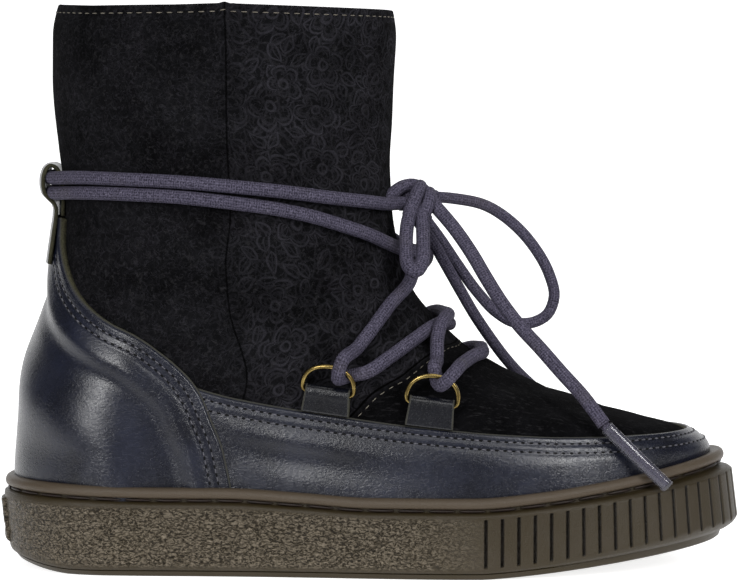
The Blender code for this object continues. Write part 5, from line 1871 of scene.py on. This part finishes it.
class Over(NamedTuple):
    """Point of the lace over the upper."""

    turn: float
    level: float
    lift: float


class AtRing(NamedTuple):
    """Point of the lace at a ring."""

    ring: int
    across: float
    reach: float
    rise: float


Stop = Over | AtRing
Run = tuple[Over, ...]
Pass = tuple[AtRing, ...]


def over(*rows: Point) -> Run:
    """Stretch of the lace over the upper."""
    return tuple(Over(*row) for row in rows)


def at_ring(ring: int, *rows: Point) -> Pass:
    """Stretch of the lace through a ring."""
    return tuple(AtRing(ring, *row) for row in rows)


@dataclass
class Lace:
    """The lace: laced part through the rings and round the ankle, knot, two loops and two ends with tips."""

    last: Last
    wardrobe: Wardrobe
    rings: RingSet
    half: float = 1.9
    near_half: float = 1.95
    far_half: float = 1.6
    step: float = 1.3
    wrap_high: Run = over(
        *((0.953, 12.05, 4.1), (0.900, 12.05, 2.4), (0.825, 12.10, 2.2), (0.750, 12.15, 2.2)),
        *((0.633, 12.25, 2.2), (0.530, 12.31, 2.2), (0.413, 12.34, 2.2), (0.288, 12.29, 2.2)),
        *((0.160, 12.19, 2.4), (0.070, 12.06, 3.4)),
    )
    wrap_low: Run = over(
        *((0.930, 11.12, 2.6), (0.815, 11.42, 2.4), (0.758, 11.55, 2.3), (0.688, 11.70, 2.2)),
        *((0.623, 11.79, 2.2), (0.530, 11.85, 2.2), (0.410, 11.87, 2.2), (0.285, 11.76, 2.2)),
        *((0.160, 11.54, 2.4), (0.070, 11.32, 3.4)),
    )
    back_high: Over = Over(0.0, 12.02, 3.6)
    back_low: Over = Over(0.0, 11.26, 3.6)
    high_to_low: Run = over(
        (1.930, 12.06, 3.4), (1.890, 12.02, 2.8), (1.840, 11.85, 2.3), (1.790, 11.62, 2.3)
    )
    low_to_high: Run = over(
        (1.930, 11.32, 3.4), (1.890, 11.42, 4.6), (1.840, 11.85, 6.6), (1.790, 12.20, 4.2)
    )
    strand_a: Run = over((0.910, 10.32, 2.9), (0.823, 9.70, 2.5), (0.720, 8.65, 2.5), (0.628, 7.45, 2.6))
    ring_1_pass: Pass = at_ring(
        0,
        *((3.1, 10.4, 2.3), (2.7, 7.6, 2.9), (2.6, 5.8, 1.7), (2.9, 4.7, 0.0)),
        *((4.0, 4.5, -1.7), (6.0, 5.0, -2.7), (8.6, 5.9, -2.7)),
    )
    strand_b: Run = over((0.670, 7.20, 2.3), (0.785, 8.40, 2.3), (0.878, 9.10, 2.3), (0.920, 9.28, 2.3))
    ridge_b: Over = Over(1.0, 9.30, 1.9)
    strand_b_medial: Run = over((1.085, 9.05, 2.6), (1.165, 8.35, 2.5), (1.245, 7.30, 2.8))
    strand_c: Run = over(
        *((0.755, 7.30, 2.8), (0.792, 7.85, 3.4), (0.832, 8.45, 4.4)),
        *((0.868, 8.90, 5.5), (0.900, 9.16, 5.9), (0.950, 9.38, 4.7)),
    )
    ridge_c: Over = Over(1.0, 9.50, 3.3)
    strand_c_medial: Run = over(
        (1.083, 9.42, 2.6), (1.150, 9.02, 2.3), (1.215, 8.40, 2.3), (1.330, 7.20, 2.3)
    )
    ring_2_pass: Pass = at_ring(
        1,
        *((4.4, 9.3, 2.0), (3.3, 7.8, 2.5), (2.3, 6.4, 1.7), (1.5, 5.5, 0.0)),
        *((0.8, 5.7, -1.5), (0.2, 7.0, -2.6), (-0.3, 8.8, -2.7)),
    )
    strand_bar: Run = over((0.815, 7.45, 2.6), (0.895, 8.10, 2.4), (0.940, 8.30, 2.4))
    ridge_bar: Over = Over(1.0, 8.52, 1.9)
    front_low: Over = Over(1.0, 10.85, 2.8)
    front_high: Over = Over(1.0, 10.85, 7.2)
    loop_small: Route = (
        *((11.9, -8.25, 100.4), (10.3, -13.0, 95.4), (9.95, -18.0, 88.6)),
        *((10.5, -21.8, 84.3), (12.2, -23.4, 82.7), (13.9, -21.6, 84.4)),
        *((14.55, -16.6, 89.6), (14.5, -12.0, 95.0), (14.1, -7.9, 98.6)),
    )
    loop_large: Route = (
        *((17.3, 2.2, 102.2), (23.0, 6.0, 101.6), (32.5, 10.0, 99.4), (40.5, 13.0, 94.0), (46.5, 14.5, 87.2)),
        *((50.5, 15.0, 80.0), (52.0, 14.5, 73.5), (50.0, 13.5, 68.5), (45.5, 12.5, 66.2), (40.0, 11.5, 66.6)),
        *((36.0, 10.5, 69.0), (29.8, 8.5, 75.6), (24.5, 6.6, 83.0), (19.4, 5.0, 90.6), (15.1, 3.1, 96.4)),
    )
    end_lateral: Route = (
        *((17.35, -5.05, 100.75), (23.4, -9.0, 93.8), (28.0, -11.5, 87.2), (31.8, -14.0, 80.8)),
        *((35.9, -16.5, 74.3), (40.8, -19.0, 67.9), (46.7, -22.0, 61.6), (52.3, -25.0, 55.3)),
        *((58.1, -28.0, 49.0), (63.6, -29.4, 41.6)),
    )
    end_medial: Route = (
        *((14.1, 0.0, 94.6), (17.6, 1.2, 89.4), (21.4, 3.0, 82.8), (25.2, 6.4, 76.0), (29.2, 10.5, 69.0)),
        *((33.8, 15.0, 62.0), (39.0, 20.6, 54.9), (44.3, 26.6, 49.0), (50.5, 31.8, 43.6), (57.5, 34.4, 39.6)),
    )
    aglet_lateral: Route = ((63.6, -29.4, 41.6), (72.8, -29.4, 32.5), (81.2, -28.0, 24.4))
    aglet_medial: Route = ((57.5, 34.4, 39.6), (66.2, 34.6, 32.4), (74.6, 33.4, 24.6))
    tip_half: float = 1.2
    tip_flatten: float = 1.55
    core_share: float = 0.74
    knot_strands: tuple[Route, ...] = (
        (
            *((4.6, -6.5, 101.6), (6.6, -4.6, 103.6), (9.2, -3.0, 105.2), (12.0, -2.6, 105.6)),
            *((14.6, -3.4, 104.4), (16.4, -4.5, 102.4), (17.6, -5.2, 100.5)),
        ),
        (
            *((12.6, 2.2, 102.2), (13.6, 0.2, 104.6), (13.9, -3.6, 105.3), (13.2, -7.0, 104.0)),
            *((12.4, -8.8, 102.2), (11.8, -9.4, 100.6), (11.2, -9.9, 99.4), (10.7, -11.2, 97.7)),
        ),
        ((8.3, -8.0, 100.6), (10.2, -6.4, 100.8), (12.6, -4.6, 100.6), (14.8, -2.0, 100.4)),
        (
            *((16.4, -3.0, 103.6), (16.2, -6.6, 101.8), (15.4, -8.0, 98.8)),
            *((14.2, -7.0, 96.6), (13.0, -4.6, 96.0)),
        ),
        ((14.5, -9.2, 97.4), (13.9, -7.0, 99.6), (13.2, -4.0, 101.6)),
        ((18.4, 2.8, 102.2), (15.6, 1.2, 102.4), (12.6, -1.0, 102.8)),
        ((15.8, 3.4, 95.6), (14.2, 2.2, 98.0), (13.0, 0.4, 100.4)),
        ((14.8, 0.4, 93.6), (13.4, -1.4, 96.4), (12.8, -2.6, 99.4)),
        ((8.3, 7.6, 100.8), (10.4, 5.2, 101.4), (13.4, 2.0, 102.6)),
        ((6.2, -1.6, 101.4), (9.4, -1.4, 102.9), (12.8, -1.2, 103.2), (15.6, -1.0, 101.4)),
    )

    def mirrored(self, route: Sequence[Stop]) -> list[Stop]:
        """The same route on the medial side."""
        other: list[Stop] = []
        for stop in route:
            if isinstance(stop, Over):
                other.append(stop._replace(turn=2.0 - stop.turn))
            else:
                other.append(stop._replace(ring=stop.ring + 2, across=-stop.across))
        return other

    def laced_route(self) -> Array:
        """Points of the laced part from the lateral side of the knot to its medial side."""
        medial_low = self.mirrored(self.wrap_low[:-2])[::-1]
        medial_high = self.mirrored(self.wrap_high[:-2])[::-1]
        route = [*self.wrap_high, self.back_high, *self.high_to_low, *medial_low]
        route += [self.front_low, *self.strand_a, *self.ring_1_pass, *self.strand_b, self.ridge_b]
        route += [*self.strand_b_medial, *self.mirrored(self.ring_2_pass)[::-1]]
        route += [*self.mirrored(self.strand_bar), self.ridge_bar, *self.strand_bar[::-1]]
        route += [*self.ring_2_pass, *self.strand_c, self.ridge_c]
        route += [*self.strand_c_medial, *self.mirrored(self.ring_1_pass)[::-1]]
        route += [*self.mirrored(self.strand_a)[::-1], self.front_high, *self.wrap_low, self.back_low]
        route += [*self.low_to_high, *medial_high]
        points = []
        for stop in route:
            if isinstance(stop, Over):
                points.append(self.last.at([stop.turn], [stop.level], [stop.lift])[0])
            else:
                points.append(self.rings.ring_point(*stop))
        return np.array(points)

    def cord(
        self, name: str, node: str, route: Sequence[Point], half: float, far_end: str, pieces: list[Object]
    ) -> None:
        """Args:
            name: the piece's name.
            node: the CAD node that it stands for.
            route: its points in millimetres.
            half: half its thickness.
            far_end: what is at its far end; not used.
            pieces: separate pieces on it.
        """
        points = resample(route, self.step)
        thing = put(tube_mesh(name, points, half), [self.wardrobe.cord], [node])
        length = arc_length(points)[-1] * MM
        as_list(pieces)
        log.info("%s: %.0f mm of cord", name, length / MM)

    def tip(self, name: str, node: str, route: Sequence[Point]) -> list[Object]:
        """Makes the flattened film tip and the lace inside it.

        Args:
            name: the piece's name.
            node: the CAD node that it stands for.
            route: its points in millimetres.

        Returns:
            The film and the lace in it.
        """
        points = resample(route, 1.0)
        film = tube_mesh(name, points[1:], self.tip_half, 18, self.tip_flatten)
        core = tube_mesh(name + "_core", points[:-1], self.core_share * self.tip_half, 14, self.tip_flatten)
        return [
            put(film, [self.wardrobe.film], [node]),
            put(core, [self.wardrobe.cord]),
        ]

    def build_knot(self) -> None:
        """Makes the knot from the strands that meet in it."""
        mesh = bpy.data.meshes.new("bow_knot")
        with edited(mesh) as bm:
            bm.loops.layers.uv.new("surface")
            for strand in self.knot_strands:
                part = tube_mesh("strand", resample(strand, 0.9), self.half)
                bm.from_mesh(part)
                bpy.data.meshes.remove(part)
        mesh.shade_smooth()
        put(mesh, [self.wardrobe.cord], ["lace_knot"])

    def build(self) -> None:
        """Makes the whole lace."""
        laced = resample(self.laced_route(), self.step)
        put(tube_mesh("lace_run", laced, self.half), [self.wardrobe.cord], ["lace_lacing"])
        self.build_knot()
        self.cord("bow_loop_small", "lace_loop_lateral", self.loop_small, self.near_half, "object", [])
        self.cord("bow_loop_large", "lace_loop_medial", self.loop_large, self.far_half, "object", [])
        tip = self.tip("tip_lateral", "aglet_lateral", self.aglet_lateral)
        self.cord("bow_end_lateral", "lace_end_lateral", self.end_lateral, self.near_half, "fitting", tip)
        tip = self.tip("tip_medial", "aglet_medial", self.aglet_medial)
        self.cord("bow_end_medial", "lace_end_medial", self.end_medial, self.far_half, "fitting", tip)


class SoftBox(NamedTuple):
    """One studio light: where it stands and points, its size in metres and its power in watts."""

    name: str
    place: Point
    target: Point
    wide: float
    tall: float
    power: float


@dataclass
class Studio:
    """White sweep, soft boxes and the camera at the photograph's place."""

    distance: float = 1.1
    eye_height: float = 0.150
    tilt_deg: float = 3.855
    lens: float = 192.5
    world_strength: float = 0.11
    boxes: tuple[SoftBox, ...] = (
        SoftBox("key", (-0.61, -1.13, 0.34), (0.0, 0.0, 0.06), 0.42, 0.46, 7.9),
        SoftBox("strip", (-0.05, -0.85, 0.75), (0.0, 0.0, 0.06), 1.3, 0.22, 3.1),
        SoftBox("fill", (0.84, -1.0, 0.5), (0.02, 0.0, 0.06), 0.45, 0.5, 9.6),
        SoftBox("top", (0.05, 0.15, 1.3), (0.0, 0.0, 0.05), 1.2, 0.9, 5.0),
    )
    sweep_front: float = -2500.0
    sweep_bend: float = 1700.0
    sweep_radius: float = 500.0
    sweep_back: float = 1500.0
    sweep_wide: float = 6000.0

    def build(self) -> None:
        """Makes sweep, light and camera."""
        scene = bpy.context.scene
        scene.view_settings.view_transform = "Standard"
        self.sweep()
        world = bpy.data.worlds.new("studio")
        world.use_nodes = True
        backdrop = world.node_tree.nodes["Background"]
        backdrop.inputs["Color"].default_value = linear("#f2f4f8")
        backdrop.inputs["Strength"].default_value = self.world_strength
        scene.world = world
        for box in self.boxes:
            self.light(box)
        camera = bpy.data.cameras.new("camera")
        camera.lens = self.lens
        camera.sensor_width = 36.0
        camera.clip_start = 0.05
        eye = bpy.data.objects.new("camera", camera)
        eye.location = (0.0, -self.distance, self.eye_height)
        eye.rotation_euler = (math.radians(90.0 - self.tilt_deg), 0.0, 0.0)
        scene.collection.objects.link(eye)
        scene.camera = eye

    def sweep(self) -> None:
        """Makes the sweep: a flat floor that curves up behind the boot."""
        quarter = 0.5 * math.pi * self.sweep_radius
        whole = self.sweep_bend - self.sweep_front + quarter + self.sweep_back

        def place(u: Array, v: Array) -> Array:
            """Points of the sweep in millimetres."""
            run = self.sweep_front + whole * v
            angle = np.clip((run - self.sweep_bend) / self.sweep_radius, 0.0, 0.5 * math.pi)
            above = np.maximum(run - self.sweep_bend - quarter, 0.0)
            y = np.minimum(run, self.sweep_bend) + self.sweep_radius * np.sin(angle)
            z = self.sweep_radius * (1.0 - np.cos(angle)) + above
            return np.stack([self.sweep_wide * (u - 0.5), y, z], axis=1)

        mesh = sheet_mesh("sweep", 30, 120, place)
        mesh.materials.append(SweepFinish().make())
        thing = bpy.data.objects.new("sweep", mesh)
        bpy.context.scene.collection.objects.link(thing)

    def light(self, box: SoftBox) -> None:
        """Adds one soft box."""
        lamp = bpy.data.lights.new(box.name, "AREA")
        lamp.shape = "RECTANGLE"
        lamp.size = box.wide
        lamp.size_y = box.tall
        lamp.energy = box.power
        thing = bpy.data.objects.new(box.name, lamp)
        thing.location = box.place
        thing.rotation_euler = (Vector(box.target) - Vector(box.place)).to_track_quat("-Z", "Y").to_euler()
        bpy.context.scene.collection.objects.link(thing)


def main() -> None:
    """Builds the boot piece by piece."""
    logging.basicConfig(level=logging.INFO, format="%(name)s %(message)s")
    for thing in list(bpy.data.objects):
        bpy.data.objects.remove(thing, do_unlink=True)
    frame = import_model()
    Studio().build()
    last = Last()
    wardrobe = Wardrobe()
    rings = RingSet(last, wardrobe)
    Lace(last, wardrobe, rings).build()
    rings.build()
    Cupsole(last, wardrobe).build()
    Upper(last, wardrobe).build()
    Foxing(last, wardrobe).build()
    Counter(last, wardrobe).build()
    PullLoop(last, wardrobe).build()
    insole = frame["nodes"]["insole"]
    insole.data.materials.clear()
    insole.data.materials.append(wardrobe.felt)


if __name__ == "__main__":
    main()
